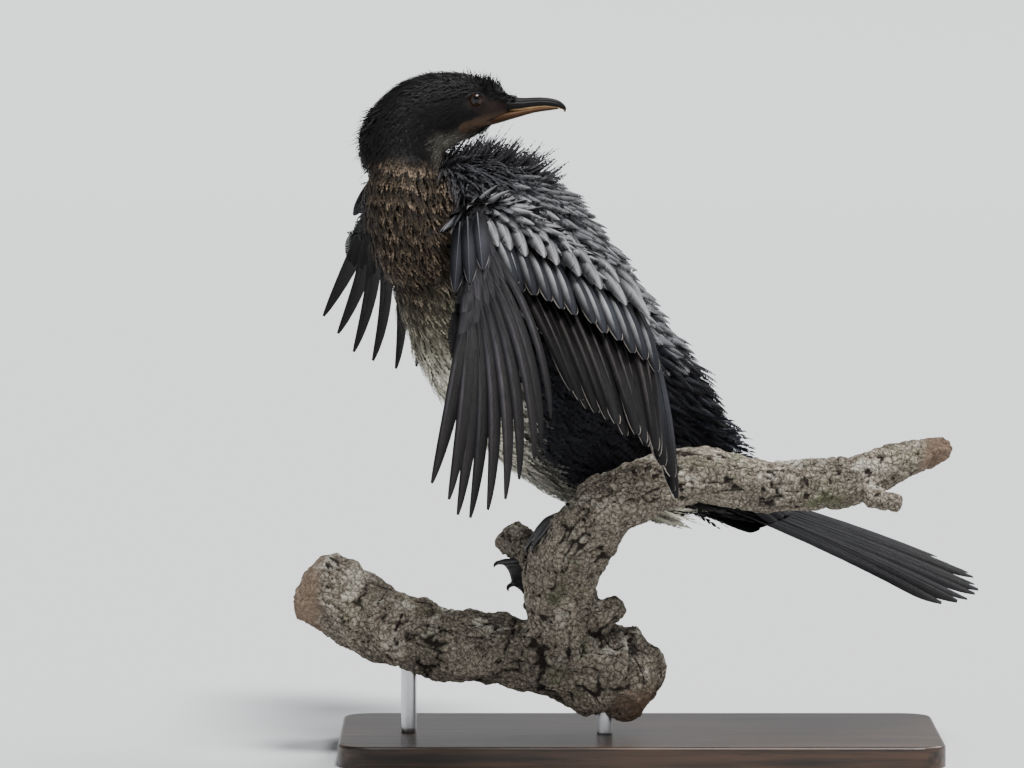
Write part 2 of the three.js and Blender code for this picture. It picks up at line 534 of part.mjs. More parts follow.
// Finishes
const finish = (colour, roughness, metalness = 0) =>
  new THREE.MeshStandardMaterial({ color: colour, roughness, metalness });
const finishes = {
  blackCoat: finish(0x121113, 0.85),
  neckCoat: finish(0x5a4a3e, 0.9),
  bodyCoat: finish(0x6f6d64, 0.9),
  wing: finish(0x4a494f, 0.5),
  flight: finish(0x2b2a2f, 0.45),
  eye: finish(0x14100c, 0.1),
  billDark: finish(0x1d1410, 0.35),
  billOrange: finish(0x8a5a24, 0.35),
  foot: finish(0x141416, 0.4),
  bark: finish(0x5d5348, 0.95),
  base: finish(0x2e2a27, 0.5),
  rod: finish(0x8b8b8d, 0.3, 1),
};

// Each piece is cut clear of the ones it grows from, face to face
const torsoCut = torsoCore(GAP);
const perchCut = perchSolid(GAP);
const leftLegCut = legCore(LEFT_LEG, GAP);
const rightLegCut = legCore(RIGHT_LEG, GAP);
const headCut = join([headCore(GAP), ...napeTufts(GAP)]);
const neckCut = neckCore(GAP);
const eyeBall = (sign, grow = 0) => {
  const at = eyeAt(sign);
  return solidOf(new THREE.SphereGeometry(EYE_RADIUS + grow, 14, 8).translate(at.x, at.y, at.z));
};
const torso = join([torsoCore(), ...rumpTufts()]).subtract(perchCut);
const head = join([headCore(), lids(1), lids(-1), ...crest(), ...napeTufts()])
  .subtract(eyeBall(1, GAP))
  .subtract(eyeBall(-1, GAP))
  .subtract(torsoCut);
const leftArmCut = arm(leftWing, GAP);
const rightArmCut = arm(rightWing, GAP);

const pieces = {
  torso: [torso, finishes.bodyCoat],
  neck: [neckCore().subtract(torsoCut).subtract(headCut), finishes.neckCoat],
  head: [head, finishes.blackCoat],
  bill_upper: [billUpperCore().subtract(headCut), finishes.billDark],
  bill_lower: [billLowerCore().subtract(headCut).subtract(billUpperCore(GAP)).subtract(torsoCut), finishes.billOrange],
  eye_left: [eyeBall(1), finishes.eye],
  eye_right: [eyeBall(-1), finishes.eye],
  wing_left_arm: [arm(leftWing).subtract(torsoCut).subtract(neckCut).subtract(headCut), finishes.wing],
  wing_left_hand: [hand(LEFT_HAND).subtract(leftArmCut).subtract(neckCut), finishes.flight],
  wing_right_arm: [arm(rightWing).subtract(torsoCut).subtract(neckCut).subtract(headCut), finishes.wing],
  wing_right_hand: [hand(RIGHT_HAND).subtract(rightArmCut).subtract(neckCut), finishes.flight],
  tail: [tailSolid().subtract(join([torsoCut, ...rumpTufts()])).subtract(perchCut), finishes.flight],
  leg_left: [legCore(LEFT_LEG).subtract(torsoCut).subtract(perchCut), finishes.blackCoat],
  leg_right: [legCore(RIGHT_LEG).subtract(torsoCut).subtract(perchCut), finishes.blackCoat],
  foot_left: [leftFoot().subtract(leftLegCut).subtract(perchCut).subtract(torsoCut), finishes.foot],
  foot_right: [rightFoot().subtract(rightLegCut).subtract(perchCut).subtract(torsoCut), finishes.foot],
  perch_branch: [perchSolid(), finishes.bark],
  stand_base: [baseSolid(), finishes.base],
  stand_rod_knob: [rodSolid("stand_rod_knob").subtract(perchCut), finishes.rod],
  stand_rod_limb: [rodSolid("stand_rod_limb").subtract(perchCut), finishes.rod],
};

const model = new THREE.Group();
for (const [name, [solid, material]] of Object.entries(pieces)) {
  const mesh = largest(solid).getMesh();
  const geometry = new THREE.BufferGeometry();
  geometry.setAttribute("position", new THREE.BufferAttribute(new Float32Array(mesh.vertProperties), 3));
  geometry.setIndex(new THREE.BufferAttribute(new Uint32Array(mesh.triVerts), 1));
  geometry.computeVertexNormals();
  const node = new THREE.Mesh(geometry, material);
  node.name = name;
  model.add(node);
}

export default model;
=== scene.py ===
"""A young long-tailed cormorant on a cut branch, feather by feather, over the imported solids.

Shapes are worked out in millimetres in the part's own frame and put into meshes in metres.
The bird faces -X, its left side is towards -Y and its head looks back, towards +X.
"""
import math

import bpy
import numpy as np
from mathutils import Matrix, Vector


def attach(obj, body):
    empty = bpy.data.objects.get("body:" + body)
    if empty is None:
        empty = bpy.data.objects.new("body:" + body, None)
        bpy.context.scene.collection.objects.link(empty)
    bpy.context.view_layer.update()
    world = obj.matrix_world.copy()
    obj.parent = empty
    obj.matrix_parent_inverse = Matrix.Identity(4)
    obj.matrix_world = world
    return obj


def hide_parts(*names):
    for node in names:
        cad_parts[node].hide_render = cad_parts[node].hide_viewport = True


MM = 0.001
rng = np.random.default_rng(11)

BODY_YAW = math.radians(18)
LEFT = np.array([math.sin(BODY_YAW), -math.cos(BODY_YAW), 0.0])
BACK = np.array([math.cos(BODY_YAW), math.sin(BODY_YAW), 0.0])
UP = np.array([0.0, 0.0, 1.0])
HEAD_LEFT = np.array([0.06, 1.0, 0.0])
HEAD_LEFT /= np.linalg.norm(HEAD_LEFT)

# Depth of the coat over the skin, in millimetres
BODY_COAT = 3.2
NECK_COAT = 2.4
WING_COAT = 2.2
LEG_COAT = 1.5
HEAD_COAT = 1.3
# Rows of points worked on at once
BLOCK = 20000

# Stations along the body, each x, y, z, half-width, half-depth
TORSO = [(-96, -30, 229, 17, 18), (-89.5, -28, 220.5, 24, 27), (-67.4, -20, 194.3, 33, 38),
         (-40.6, -11, 164.6, 34, 40), (-13.5, -3, 141.5, 28, 35), (11.4, 5, 127.3, 21, 25),
         (29.7, 11, 119.5, 13, 12)]
MANTLE = [(-95, -30, 245, 18, 15), (-80, -27, 245, 28, 27), (-61, -22, 232, 36, 34), (-38, -14, 208, 35, 33),
          (-12, -6, 178, 29, 28), (9, 1, 155, 22, 24), (26, 7, 137, 15, 15)]
NECK = [(-92, -30, 222, 20, 22), (-99.4, -34, 233, 19.5, 20.5), (-103.8, -34, 248.6, 18, 18.5),
        (-105.5, -31, 263.1, 16.5, 18), (-105.5, -29, 274, 15, 18.5)]
HEAD = [(-107, -29, 266, 15.5, 19), (-105.5, -27, 277, 16, 20.5), (-98, -26, 286.5, 15, 19.5),
        (-86.5, -25, 291, 13.5, 17.6), (-75, -24, 292.4, 11.5, 14.5), (-66, -24, 293.2, 8.6, 10.2),
        (-60.5, -24, 292.4, 5.8, 6.4)]
ARM = [(-80, -62, 245, 22, 6), (-66, -59, 242, 27, 9), (-46, -60, 230, 23, 10), (-24, -64, 216, 14, 8),
       (-6, -67, 204, 8, 6), (0, -68, 200, 4, 3)]
LEFT_THIGH = [(-14, -16, 140, 15, 15), (-18, -19, 126, 10, 10), (-24, -20.5, 115, 5, 5)]
RIGHT_THIGH = [(-12, 14, 136, 15, 15), (-18, 16, 116, 10.5, 11), (-27, 8, 99, 4.8, 4.8)]
SPINE = [(-60, -24, 291), (-75, -24, 292), (-86.5, -25, 291), (-98, -26, 286), (-105, -28, 276),
         (-105.5, -31, 263), (-103.8, -34, 248), (-99, -33, 233), (-89.5, -28, 220), (-67.4, -20, 194),
         (-40.6, -11, 165), (-13.5, -3, 141), (11.4, 5, 127), (30, 11, 119.5), (60, 18, 108)]


def unit(a):
    """Each vector divided by its own length."""
    a = np.asarray(a, float)
    return a / np.maximum(np.linalg.norm(a, axis=-1, keepdims=True), 1e-12)


def curve(points, t):
    """Catmull-Rom curve through the points: a cubic between each two, whose slope at a point is half the step
    between its neighbours. t runs from 0 to 1 over equal numbers of points."""
    p = np.asarray(points, float)
    n = len(p) - 1
    p = np.vstack([2 * p[:1] - p[1:2], p, 2 * p[-1:] - p[-2:-1]])
    s = np.clip(np.asarray(t, float), 0, 1) * n
    i = np.minimum(s.astype(int), n - 1)
    f = (s - i)[..., None]
    a, b, c, d = p[i], p[i + 1], p[i + 2], p[i + 3]
    return 0.5 * (2 * b + (c - a) * f + (2 * a - 5 * b + 4 * c - d) * f**2 + (3 * b - a - 3 * c + d) * f**3)


def smoothstep(low, high, x):
    """0 below low, 1 above high, and a smooth cubic between."""
    t = np.clip((x - low) / (high - low), 0, 1)
    return t * t * (3 - 2 * t)


def add_colours(mesh, key, rgb):
    """A colour attribute with one colour for each vertex."""
    layer = mesh.attributes.new(key, "FLOAT_COLOR", "POINT")
    rows = np.ones((len(rgb), 4), np.float32)
    rows[:, :3] = rgb
    layer.data.foreach_set("color", rows.ravel())


def add_values(mesh, key, numbers):
    """A number attribute with one number for each vertex."""
    layer = mesh.attributes.new(key, "FLOAT", "POINT")
    layer.data.foreach_set("value", np.asarray(numbers, np.float32).ravel())


def mesh_piece(name, verts, faces, uvs=None, colours=None, values=None, smooth=True):
    """A mesh object from arrays: verts in millimetres, faces a list of arrays of corners, uvs and colours by
    name, one row per vertex."""
    mesh = bpy.data.meshes.new(name)
    faces = [np.asarray(f, np.int32) for f in faces if len(f)]
    loops = np.concatenate([f.ravel() for f in faces])
    sizes = np.concatenate([np.full(len(f), f.shape[1], np.int32) for f in faces])
    starts = np.concatenate([[0], np.cumsum(sizes)[:-1]]).astype(np.int32)
    mesh.vertices.add(len(verts))
    mesh.vertices.foreach_set("co", (np.asarray(verts, float) * MM).astype(np.float32).ravel())
    mesh.loops.add(len(loops))
    mesh.loops.foreach_set("vertex_index", loops)
    mesh.polygons.add(len(sizes))
    mesh.polygons.foreach_set("loop_start", starts)
    mesh.polygons.foreach_set("use_smooth", np.full(len(sizes), smooth))
    for key, uv in (uvs or {}).items():
        layer = mesh.uv_layers.new(name=key)
        layer.data.foreach_set("uv", np.asarray(uv, np.float32)[loops].ravel())
    for key, rgb in (colours or {}).items():
        add_colours(mesh, key, rgb)
    for key, numbers in (values or {}).items():
        add_values(mesh, key, numbers)
    mesh.update(calc_edges=True)
    mesh.validate()
    piece = bpy.data.objects.new(name, mesh)
    bpy.context.scene.collection.objects.link(piece)
    return piece


def ring_faces(rings, sides, closed=True):
    """Quads between rings of points that follow one another, with each ring's last point joined to its
    first."""
    j = np.arange(sides if closed else sides - 1)
    k = (j + 1) % sides
    base = (np.arange(rings - 1) * sides)[:, None]
    return np.stack([base + j, base + k, base + sides + k, base + sides + j], -1).reshape(-1, 4)


def tube(stations, side, steps=40, sides=40, shrink=0.0, lump=None):
    """A closed tube: rings of ellipses round a Catmull-Rom line. A ring's point at angle a is the centre plus
    (half-width - shrink) cos a along side plus (half-depth - shrink) sin a across it, and each end rounds off
    to a point. lump(t, a) multiplies both halves."""
    s = np.asarray(stations, float)
    t = np.linspace(0, 1, steps)
    line = curve(s, t)
    at = line[:, :3]
    along = unit(np.gradient(at, axis=0))
    across = unit(side - along * (along @ side)[:, None])
    over = np.cross(along, across)
    a = np.linspace(0, 2 * np.pi, sides, endpoint=False)
    bulge = np.ones((steps, sides)) if lump is None else lump(t[:, None], a[None, :])
    wide = (line[:, 3] - shrink)[:, None] * bulge
    deep = (line[:, 4] - shrink)[:, None] * bulge
    aside = across[:, None] * (wide * np.cos(a))[..., None]
    rings = at[:, None] + aside + over[:, None] * (deep * np.sin(a))[..., None]
    caps, start = [], []
    for share, depth in ((0.75, 0.25), (0.4, 0.38)):
        start.append(at[0] + (rings[0] - at[0]) * share - along[0] * deep[0].mean() * depth)
        caps.append(at[-1] + (rings[-1] - at[-1]) * share + along[-1] * deep[-1].mean() * depth)
    rings = np.concatenate([np.array(start[::-1]), rings, np.array(caps)])
    n = len(rings)
    first = at[0] - along[0] * deep[0].mean() * 0.42
    last = at[-1] + along[-1] * deep[-1].mean() * 0.42
    verts = np.vstack([rings.reshape(-1, 3), first, last])
    j = np.arange(sides)
    k = (j + 1) % sides
    end = (n - 1) * sides
    caps = [np.stack([k, j, np.full(sides, n * sides)], -1),
            np.stack([end + j, end + k, np.full(sides, n * sides + 1)], -1)]
    return verts, [ring_faces(n, sides), *caps]


def merged(parts):
    """Several (verts, faces) made one, with the corners counted on."""
    verts, faces, count = [], [], 0
    for v, fs in parts:
        verts.append(v)
        faces += [np.asarray(f) + count for f in fs]
        count += len(v)
    return np.vstack(verts), faces


def apply_modifiers(piece):
    """The piece's mesh replaced by what its modifiers make of it."""
    graph = bpy.context.evaluated_depsgraph_get()
    mesh = bpy.data.meshes.new_from_object(piece.evaluated_get(graph))
    piece.modifiers.clear()
    piece.data = mesh
    return piece


def fused(name, parts, voxel, soften):
    """One skin over overlapping tubes: all are remeshed on a grid of that spacing, then smoothed."""
    piece = mesh_piece(name, *merged(parts))
    remesh = piece.modifiers.new("fuse", "REMESH")
    remesh.mode = "VOXEL"
    remesh.voxel_size = voxel * MM
    remesh.use_smooth_shade = True
    smooth = piece.modifiers.new("soften", "SMOOTH")
    smooth.factor = 0.5
    smooth.iterations = soften
    return apply_modifiers(piece)


def arrays(piece):
    """Vertices in millimetres, vertex normals and triangles of a piece."""
    mesh = piece.data
    mesh.calc_loop_triangles()
    co = np.empty(len(mesh.vertices) * 3, np.float32)
    mesh.vertices.foreach_get("co", co)
    tri = np.empty(len(mesh.loop_triangles) * 3, np.int32)
    mesh.loop_triangles.foreach_get("vertices", tri)
    co = co.reshape(-1, 3).astype(float) / MM
    tri = tri.reshape(-1, 3)
    face = np.cross(co[tri[:, 1]] - co[tri[:, 0]], co[tri[:, 2]] - co[tri[:, 0]])
    normal = np.zeros_like(co)
    for c in range(3):
        np.add.at(normal, tri[:, c], face)
    return co, unit(normal), tri, face


def scatter(surface, spacing, keep):
    """Even, random places on a surface: many points spread by area, then one kept in each cell of a grid of
    that spacing, the one nearest the cell's middle. keep(points) picks the region. Gives places and
    normals."""
    co, normal, tri, face = surface
    area = np.linalg.norm(face, axis=1) / 2
    centre = co[tri].mean(1)
    area = area * keep(centre)
    total = area.sum()
    count = int(8 * total / spacing**2) + 10
    pick = rng.choice(len(tri), count, p=area / total)
    r = np.sqrt(rng.random(count))
    s = rng.random(count)
    w = np.stack([1 - r, r * (1 - s), r * s], -1)[..., None]
    at = (co[tri[pick]] * w).sum(1)
    out = unit((normal[tri[pick]] * w).sum(1))
    cell = np.floor(at / spacing)
    order = np.argsort(np.abs(at / spacing - cell - 0.5).sum(1))
    _, first = np.unique(cell[order].astype(np.int64), axis=0, return_index=True)
    chosen = order[first]
    return at[chosen], out[chosen]


def blocks(points):
    """Slices that cover the points a block of rows at a time, so that tables of distances stay small."""
    return [slice(start, start + BLOCK) for start in range(0, len(points), BLOCK)]


def closeness(points, *tubes):
    """Distance from each point to the nearest of the tubes' middle lines, as a share of the tube's size
    there."""
    best = np.full(len(points), np.inf)
    for stations in tubes:
        line = curve(stations, np.linspace(0, 1, 40))
        size = line[:, 3:].mean(1)
        for rows in blocks(points):
            gap = np.linalg.norm(points[rows, None] - line[None, :, :3], axis=2) / size
            best[rows] = np.minimum(best[rows], gap.min(1))
    return best


SPINE_STEPS = np.linspace(0, 1, 200)
SPINE_LINE = curve(SPINE, SPINE_STEPS)
SPINE_AHEAD = unit(np.gradient(SPINE_LINE, axis=0))
# Share of the spine where the trunk starts
BODY_FROM = 0.46
# Added to a squared distance to leave a step out, and how far its neighbours count, in square millimetres
FAR = 1e5
FLOW_REACH = 260


def spine_gaps(points):
    """Squared distances to the spine's steps, in blocks of rows. The head bends back over the trunk, so what
    is nearer the trunk's tubes than the neck's has the head's and neck's steps put far away."""
    trunk = closeness(points, MANTLE, TORSO) < closeness(points, NECK, HEAD)
    ahead = SPINE_STEPS < BODY_FROM
    for rows in blocks(points):
        p = points[rows]
        gap = ((p[:, None] - SPINE_LINE[None]) ** 2).sum(-1)
        gap[np.ix_(trunk[rows], ahead)] += FAR
        yield rows, p, gap


def flow(points, normals):
    """Which way the coat lies: the spine's own direction from bill to tail, averaged over its points with
    weights that fall off with distance, and laid flat on the surface."""
    out = np.zeros_like(points)
    for rows, _, gap in spine_gaps(points):
        weight = np.exp(-(gap - gap.min(1, keepdims=True)) / FLOW_REACH)
        out[rows] = weight @ SPINE_AHEAD
    out -= normals * (out * normals).sum(1, keepdims=True)
    return unit(out)


def spine_place(points):
    """How far along the spine each point is, 0 at the bill and 1 at the tail, and its angle round it, 0 to
    1."""
    place = np.empty(len(points))
    angle = np.empty(len(points))
    for rows, p, gap in spine_gaps(points):
        near = gap.argmin(1)
        place[rows] = SPINE_STEPS[near]
        away = p - SPINE_LINE[near]
        side = unit(LEFT - SPINE_AHEAD[near] * (SPINE_AHEAD[near] @ LEFT)[:, None])
        over = np.cross(SPINE_AHEAD[near], side)
        angle[rows] = np.arctan2((away * over).sum(1), (away * side).sum(1)) / (2 * np.pi) + 0.5
    return place, angle


# A shaft is a rod of this many rings, each of four corners (aside, up) in shaft half-widths
SHAFT_RINGS = 9
SHAFT_CORNERS = ((-1, -0.2), (0, 0.9), (1, -0.2), (0, -0.9))


def plumes(root, along, face, length, half, strips=8, steps=2, outline=(0.3, 0.6, 0.5), lift=0.3,
           droop=0.25, cup=0.1, sweep=0.0, fill=1.0, advance=0.25, bare=0.02, split=0.0, shaft=0.0,
           ragged=0.04):
    """Feathers as fans of flat strips, each strip one bundle of barbs. On a feather of length L, strip j
    leaves the shaft at v = j/N and ends at e = v + advance (1 - v), where the outline's half-width is w(e):
    it rises to 1 by outline[0], and from outline[1] to the tip it is (1 - x^2)^outline[2]. A point x across
    and y along is root + along y + across (x + L sweep ((y/L)^2 - y/L)) + face (L (lift y/L - droop (y/L)^2)
    - cup x^2/w). fill is how much of its own room a strip keeps at its outer end, and split the share of
    strips that part there. Gives verts, faces, u across, v along, each vertex's feather, 1 on shafts, and the
    barb's place in millimetres."""
    count = len(root)
    face = unit(face - along * (face * along).sum(1, keepdims=True))
    across = np.cross(along, face)
    one = np.ones(count)
    half = np.stack([half[0] * one, half[1] * one], 1)
    length, lift, droop, cup, sweep = (one[:, None, None] * np.reshape(x, (-1, 1, 1))
                                       for x in (length, lift, droop, cup, sweep))
    root, along, across, face = (a[:, None, None] for a in (root, along, across, face))

    def bent(x, y, z):
        """A point x across, y along as a share of the length and z off the face, with sweep, lift and
        droop."""
        side = x + length * sweep * (y**2 - y)
        high = length * (lift * y - droop * y**2) + z
        at = root + along * (length * y)[..., None] + across * side[..., None] + face * high[..., None]
        return at.reshape(-1, 3)

    def width(e):
        rise = 0.3 + 0.7 * smoothstep(0, outline[0], e)
        x = np.clip((e - outline[1]) / (1 - outline[1]), 0, 1)
        return rise * (1 - x * x) ** outline[2]

    v = bare + (0.985 - bare) * np.linspace(0, 1, strips + 1)
    v = np.broadcast_to(v, (count, 2, strips + 1)).copy()
    v[:, :, 1:-1] += rng.uniform(-0.25, 0.25, (count, 2, strips - 1)) / strips
    e = v + advance * (1 - v)
    s = np.linspace(0, 1, steps + 1)
    rough = 1 - ragged * rng.random((count, 2, strips + 1))
    w = width(e) * half[:, :, None] * rough
    x = w[..., None] * s
    y = v[..., None] + (e - v)[..., None] * (1.25 * s - 0.25 * s * s)
    near = np.stack([x[:, :, :-1], y[:, :, :-1]], -1)
    far = np.stack([x[:, :, 1:], y[:, :, 1:]], -1)
    room = np.where(rng.random((count, 2, strips)) < split, 0.25, fill)
    keep = 1 + (room[..., None] - 1) * s**1.5
    far = near + (far - near) * keep[..., None]
    # The grid's axes are feather, side, strip, edge, step and (x, y)
    grid = np.stack([near, far], 3)
    sign = np.array([-1.0, 1.0])[None, :, None, None, None]
    gx = grid[..., 0] * sign
    gy = grid[..., 1]
    shape = gx.shape
    by_side = (count, 2, -1)
    verts = bent(gx.reshape(by_side), gy.reshape(by_side), -cup * gx.reshape(by_side)**2 / half[:, :, None])
    u = np.broadcast_to(0.5 + 0.5 * sign * s, shape).ravel()
    vv = gy.ravel()
    shaft_at = np.stack([v[:, :, :-1], v[:, :, 1:]], 3)[..., None]
    barb = (length * np.broadcast_to(shaft_at, shape).reshape(by_side)).ravel()
    who = np.repeat(np.arange(count), 2 * strips * 2 * (steps + 1))
    block = np.arange(count * 2 * strips) * 2 * (steps + 1)
    k = np.arange(steps)
    quad = np.stack([k, k + 1, steps + 2 + k, steps + 1 + k], -1)
    faces = (block[:, None, None] + quad).reshape(count, 2, strips * steps, 4)
    faces[:, 0] = faces[:, 0, :, ::-1]
    faces = [faces.reshape(-1, 4)]
    mark = np.zeros(len(verts))
    if shaft > 0:
        t = np.linspace(0, 0.97, SHAFT_RINGS)
        off = np.array(SHAFT_CORNERS) * (shaft * (1 - 0.85 * t))[:, None, None]
        each = SHAFT_RINGS * len(SHAFT_CORNERS)
        rod = bent(off[None, ..., 0], t[None, :, None], off[None, ..., 1])
        quads = ring_faces(SHAFT_RINGS, len(SHAFT_CORNERS))[:, ::-1]
        faces.append((len(verts) + (np.arange(count) * each)[:, None, None] + quads).reshape(-1, 4))
        verts = np.vstack([verts, rod])
        u = np.concatenate([u, np.full(count * each, 0.5)])
        vv = np.concatenate([vv, np.tile(np.repeat(t, len(SHAFT_CORNERS)), count)])
        who = np.concatenate([who, np.repeat(np.arange(count), each)])
        mark = np.concatenate([mark, np.ones(count * each)])
        barb = np.concatenate([barb, np.zeros(count * each)])
    return verts, faces, u, vv, who, mark, barb


def mix(a, b, t):
    """a and b blended by t, one row for each t. a and b are rows of colours, or one colour for all."""
    return np.asarray(a) * (1 - t[:, None]) + np.asarray(b) * t[:, None]


# Width of one plume's patch on the unrolled skin
BAKE_PATCH = 0.003


# Markings
# Large odd numbers that scramble a grid corner's three indices and its seed, and the range of the result
NOISE_STEPS = (374761393, 668265263, 1442695041)
NOISE_SEED = 974634777
NOISE_MIX = 1274126177
WORD = 0xFFFFFFFF


def noise(points, size, seed):
    """Value noise between 0 and 1: a random number at each corner of a cubic grid of that size, blended
    smoothly."""
    q = points / size
    low = np.floor(q).astype(np.int64)
    f = q - low
    f = f * f * (3 - 2 * f)
    total = np.zeros(len(points))
    for corner in np.ndindex(2, 2, 2):
        n = ((low + corner) * NOISE_STEPS).sum(1) + seed * NOISE_SEED
        n = n & WORD
        n = ((n ^ (n >> 13)) * NOISE_MIX) & WORD
        share = np.where(corner, f, 1 - f)
        total += (n ^ (n >> 16)) / WORD * share[:, 0] * share[:, 1] * share[:, 2]
    return total


# Each marking's colour at a plume's root and at its tip
HEAD_BLACK = ((0.003, 0.0025, 0.0025), (0.0085, 0.0072, 0.0072))
NECK_BROWN = ((0.008, 0.0055, 0.004), (0.28, 0.21, 0.145))
BREAST_OLIVE = ((0.05, 0.045, 0.03), (0.34, 0.31, 0.23))
BELLY_WHITE = ((0.30, 0.285, 0.22), (0.56, 0.54, 0.45))
MANTLE_GREY = ((0.010, 0.010, 0.012), (0.050, 0.050, 0.056))
BACK_BLACK = ((0.004, 0.004, 0.005), (0.012, 0.012, 0.016))
THROAT_PALE = ((0.12, 0.11, 0.09), (0.42, 0.40, 0.34))
# Millimetres between the neck's rows of pale tips, and how much of a tip's colour is lost between them
NECK_ROW = 7.0
NECK_COMB = 0.82


def coat_colours(points):
    """Colours of the coat at these points, at the plume's root and tip: black head, brown neck with buff
    tips, olive breast, off-white belly, grey mantle, and blue-black back, flanks and rump, blended over a few
    millimetres. The flanks' black also reaches forward over the belly's side under the wing as painted shade."""
    place, angle = spine_place(points)
    belly = np.sin(2 * np.pi * (angle - 0.5))
    wobble = 0.022 * (noise(points, 9, 3) - 0.5)
    x, y, z = points.T
    place = place + wobble
    neck = smoothstep(0.325, 0.345, place)
    breast = smoothstep(0.53, 0.60, place)
    white = smoothstep(0.585, 0.64, place)
    # The flanks' edge lies far towards the belly, so their black also covers the belly's side under the wing:
    # painted shade
    edge = 0.30 + 0.64 * smoothstep(0.625, 0.745, place)
    black_flank_and_shade = smoothstep(0.25, -0.15, belly - edge + 2 * wobble) * smoothstep(0.55, 0.60, place)
    above = closeness(points, NECK, HEAD, TORSO) - closeness(points, MANTLE)
    mantle = smoothstep(-0.12, 0.05, above + 2 * wobble) * smoothstep(176, 200, z)
    mantle = mantle * smoothstep(-98, -92, points @ BACK)
    rows = 0.5 + 0.5 * np.cos(2 * np.pi * (z + 120 * wobble + 0.15 * x) / NECK_ROW)
    throat = smoothstep(-95, -84, x) * smoothstep(284, 276, z)
    throat = throat * smoothstep(0.42, 0.33, place) * smoothstep(262, 268, z)
    layers = ((NECK_BROWN, neck), (BREAST_OLIVE, breast), (BELLY_WHITE, white), (BACK_BLACK, black_flank_and_shade),
              (MANTLE_GREY, mantle), (THROAT_PALE, throat))
    root, tip = HEAD_BLACK
    for (low, high), share in layers:
        root = mix(root, low, share)
        tip = mix(tip, high, share)
    comb = neck * (1 - white) * (1 - mantle) * (1 - black_flank_and_shade)
    tip = tip * (1 - comb * NECK_COMB * (1 - rows))[:, None]
    return root, tip


# Finishes
class Nodes:
    """A node tree with short calls to add a node, set its inputs and join it to what feeds it."""

    def __init__(self, tree):
        self.tree = tree

    def add(self, kind, inputs=None, **settings):
        node = self.tree.nodes.new(kind)
        for key, value in settings.items():
            setattr(node, key, value)
        for key, value in (inputs or {}).items():
            socket = node.inputs[key]
            if isinstance(value, bpy.types.NodeSocket):
                self.tree.links.new(value, socket)
            else:
                socket.default_value = value
        return node

    def math(self, operation, a, b=0.0, clamp=False):
        return self.add("ShaderNodeMath", {0: a, 1: b}, operation=operation, use_clamp=clamp).outputs[0]

    def ramp(self, value, low, high, out_low=0.0, out_high=1.0):
        limits = {"Value": value, "From Min": low, "From Max": high, "To Min": out_low, "To Max": out_high}
        return self.add("ShaderNodeMapRange", limits, interpolation_type="SMOOTHSTEP").outputs[0]

    def mix(self, factor, a, b):
        return self.add("ShaderNodeMix", {0: factor, 6: a, 7: b}, data_type="RGBA").outputs[2]

    def attribute(self, key, kind="Color"):
        return self.add("ShaderNodeAttribute", attribute_name=key).outputs[kind]

    def place(self):
        return self.add("ShaderNodeTexCoord").outputs["Object"]

    def cloud(self, at, scale, detail, **inputs):
        """A noise texture at these coordinates."""
        return self.add("ShaderNodeTexNoise",
                        {"Vector": at, "Scale": scale, "Detail": detail, **inputs}).outputs[0]

    def mottled(self, shader, colour, size, low, high):
        """The colour, times a soft cloud between low and high, as the shader's own."""
        mottle = self.add("ShaderNodeGroup", {"Size": size, "Low": low, "High": high}, node_tree=mottle_group)
        scaled = self.add("ShaderNodeVectorMath", {0: colour}, operation="SCALE")
        self.tree.links.new(mottle.outputs["Value"], scaled.inputs["Scale"])
        self.tree.links.new(scaled.outputs[0], shader.inputs["Base Color"])
        return mottle

    def bump(self, shader, height, distance, strength):
        """A bump in metres on the shader's normal."""
        node = self.add("ShaderNodeBump", {"Height": height, "Distance": distance, "Strength": strength})
        self.tree.links.new(node.outputs[0], shader.inputs["Normal"])


def rgba(colour):
    return (*colour, 1.0)


def new_group(name, inputs, outputs):
    """A shader node group with these sockets, each (name, kind, value)."""
    tree = bpy.data.node_groups.new(name, "ShaderNodeTree")
    for key, kind, value in inputs:
        socket = tree.interface.new_socket(name=key, in_out="INPUT", socket_type=kind)
        if value is not None:
            socket.default_value = value
    for key, kind in outputs:
        tree.interface.new_socket(name=key, in_out="OUTPUT", socket_type=kind)
    n = Nodes(tree)
    return n, n.add("NodeGroupInput"), n.add("NodeGroupOutput")


def make_mottle_group():
    """Mottle: a soft cloud of lighter and darker places, and a fine grain for a bump, on object coordinates.
    Size is the cloud's size in metres."""
    n, source, sink = new_group("Mottle", [("Size", "NodeSocketFloat", 0.01), ("Low", "NodeSocketFloat", 0.8),
                                           ("High", "NodeSocketFloat", 1.2),
                                           ("Seed", "NodeSocketFloat", 0.0)],
                                [("Value", "NodeSocketFloat"), ("Grain", "NodeSocketFloat")])
    at = n.place()
    scale = n.math("DIVIDE", 1.0, source.outputs["Size"])
    shifted = n.add("ShaderNodeVectorMath", {0: at, 1: (0, 0, 0)}, operation="ADD")
    n.tree.links.new(source.outputs["Seed"], shifted.inputs[1])
    cloud = n.add("ShaderNodeTexNoise",
                  {"Vector": shifted.outputs[0], "Scale": scale, "Detail": 5.0, "Roughness": 0.6})
    value = n.add("ShaderNodeMapRange", {"Value": cloud.outputs[0], "From Min": 0.25, "From Max": 0.75,
                                         "To Min": source.outputs["Low"], "To Max": source.outputs["High"]})
    fine = n.math("MULTIPLY", scale, 9.0)
    grain = n.add("ShaderNodeTexNoise", {"Vector": shifted.outputs[0], "Scale": fine, "Detail": 3.0})
    n.tree.links.new(value.outputs[0], sink.inputs["Value"])
    n.tree.links.new(grain.outputs[0], sink.inputs["Grain"])
    return n.tree


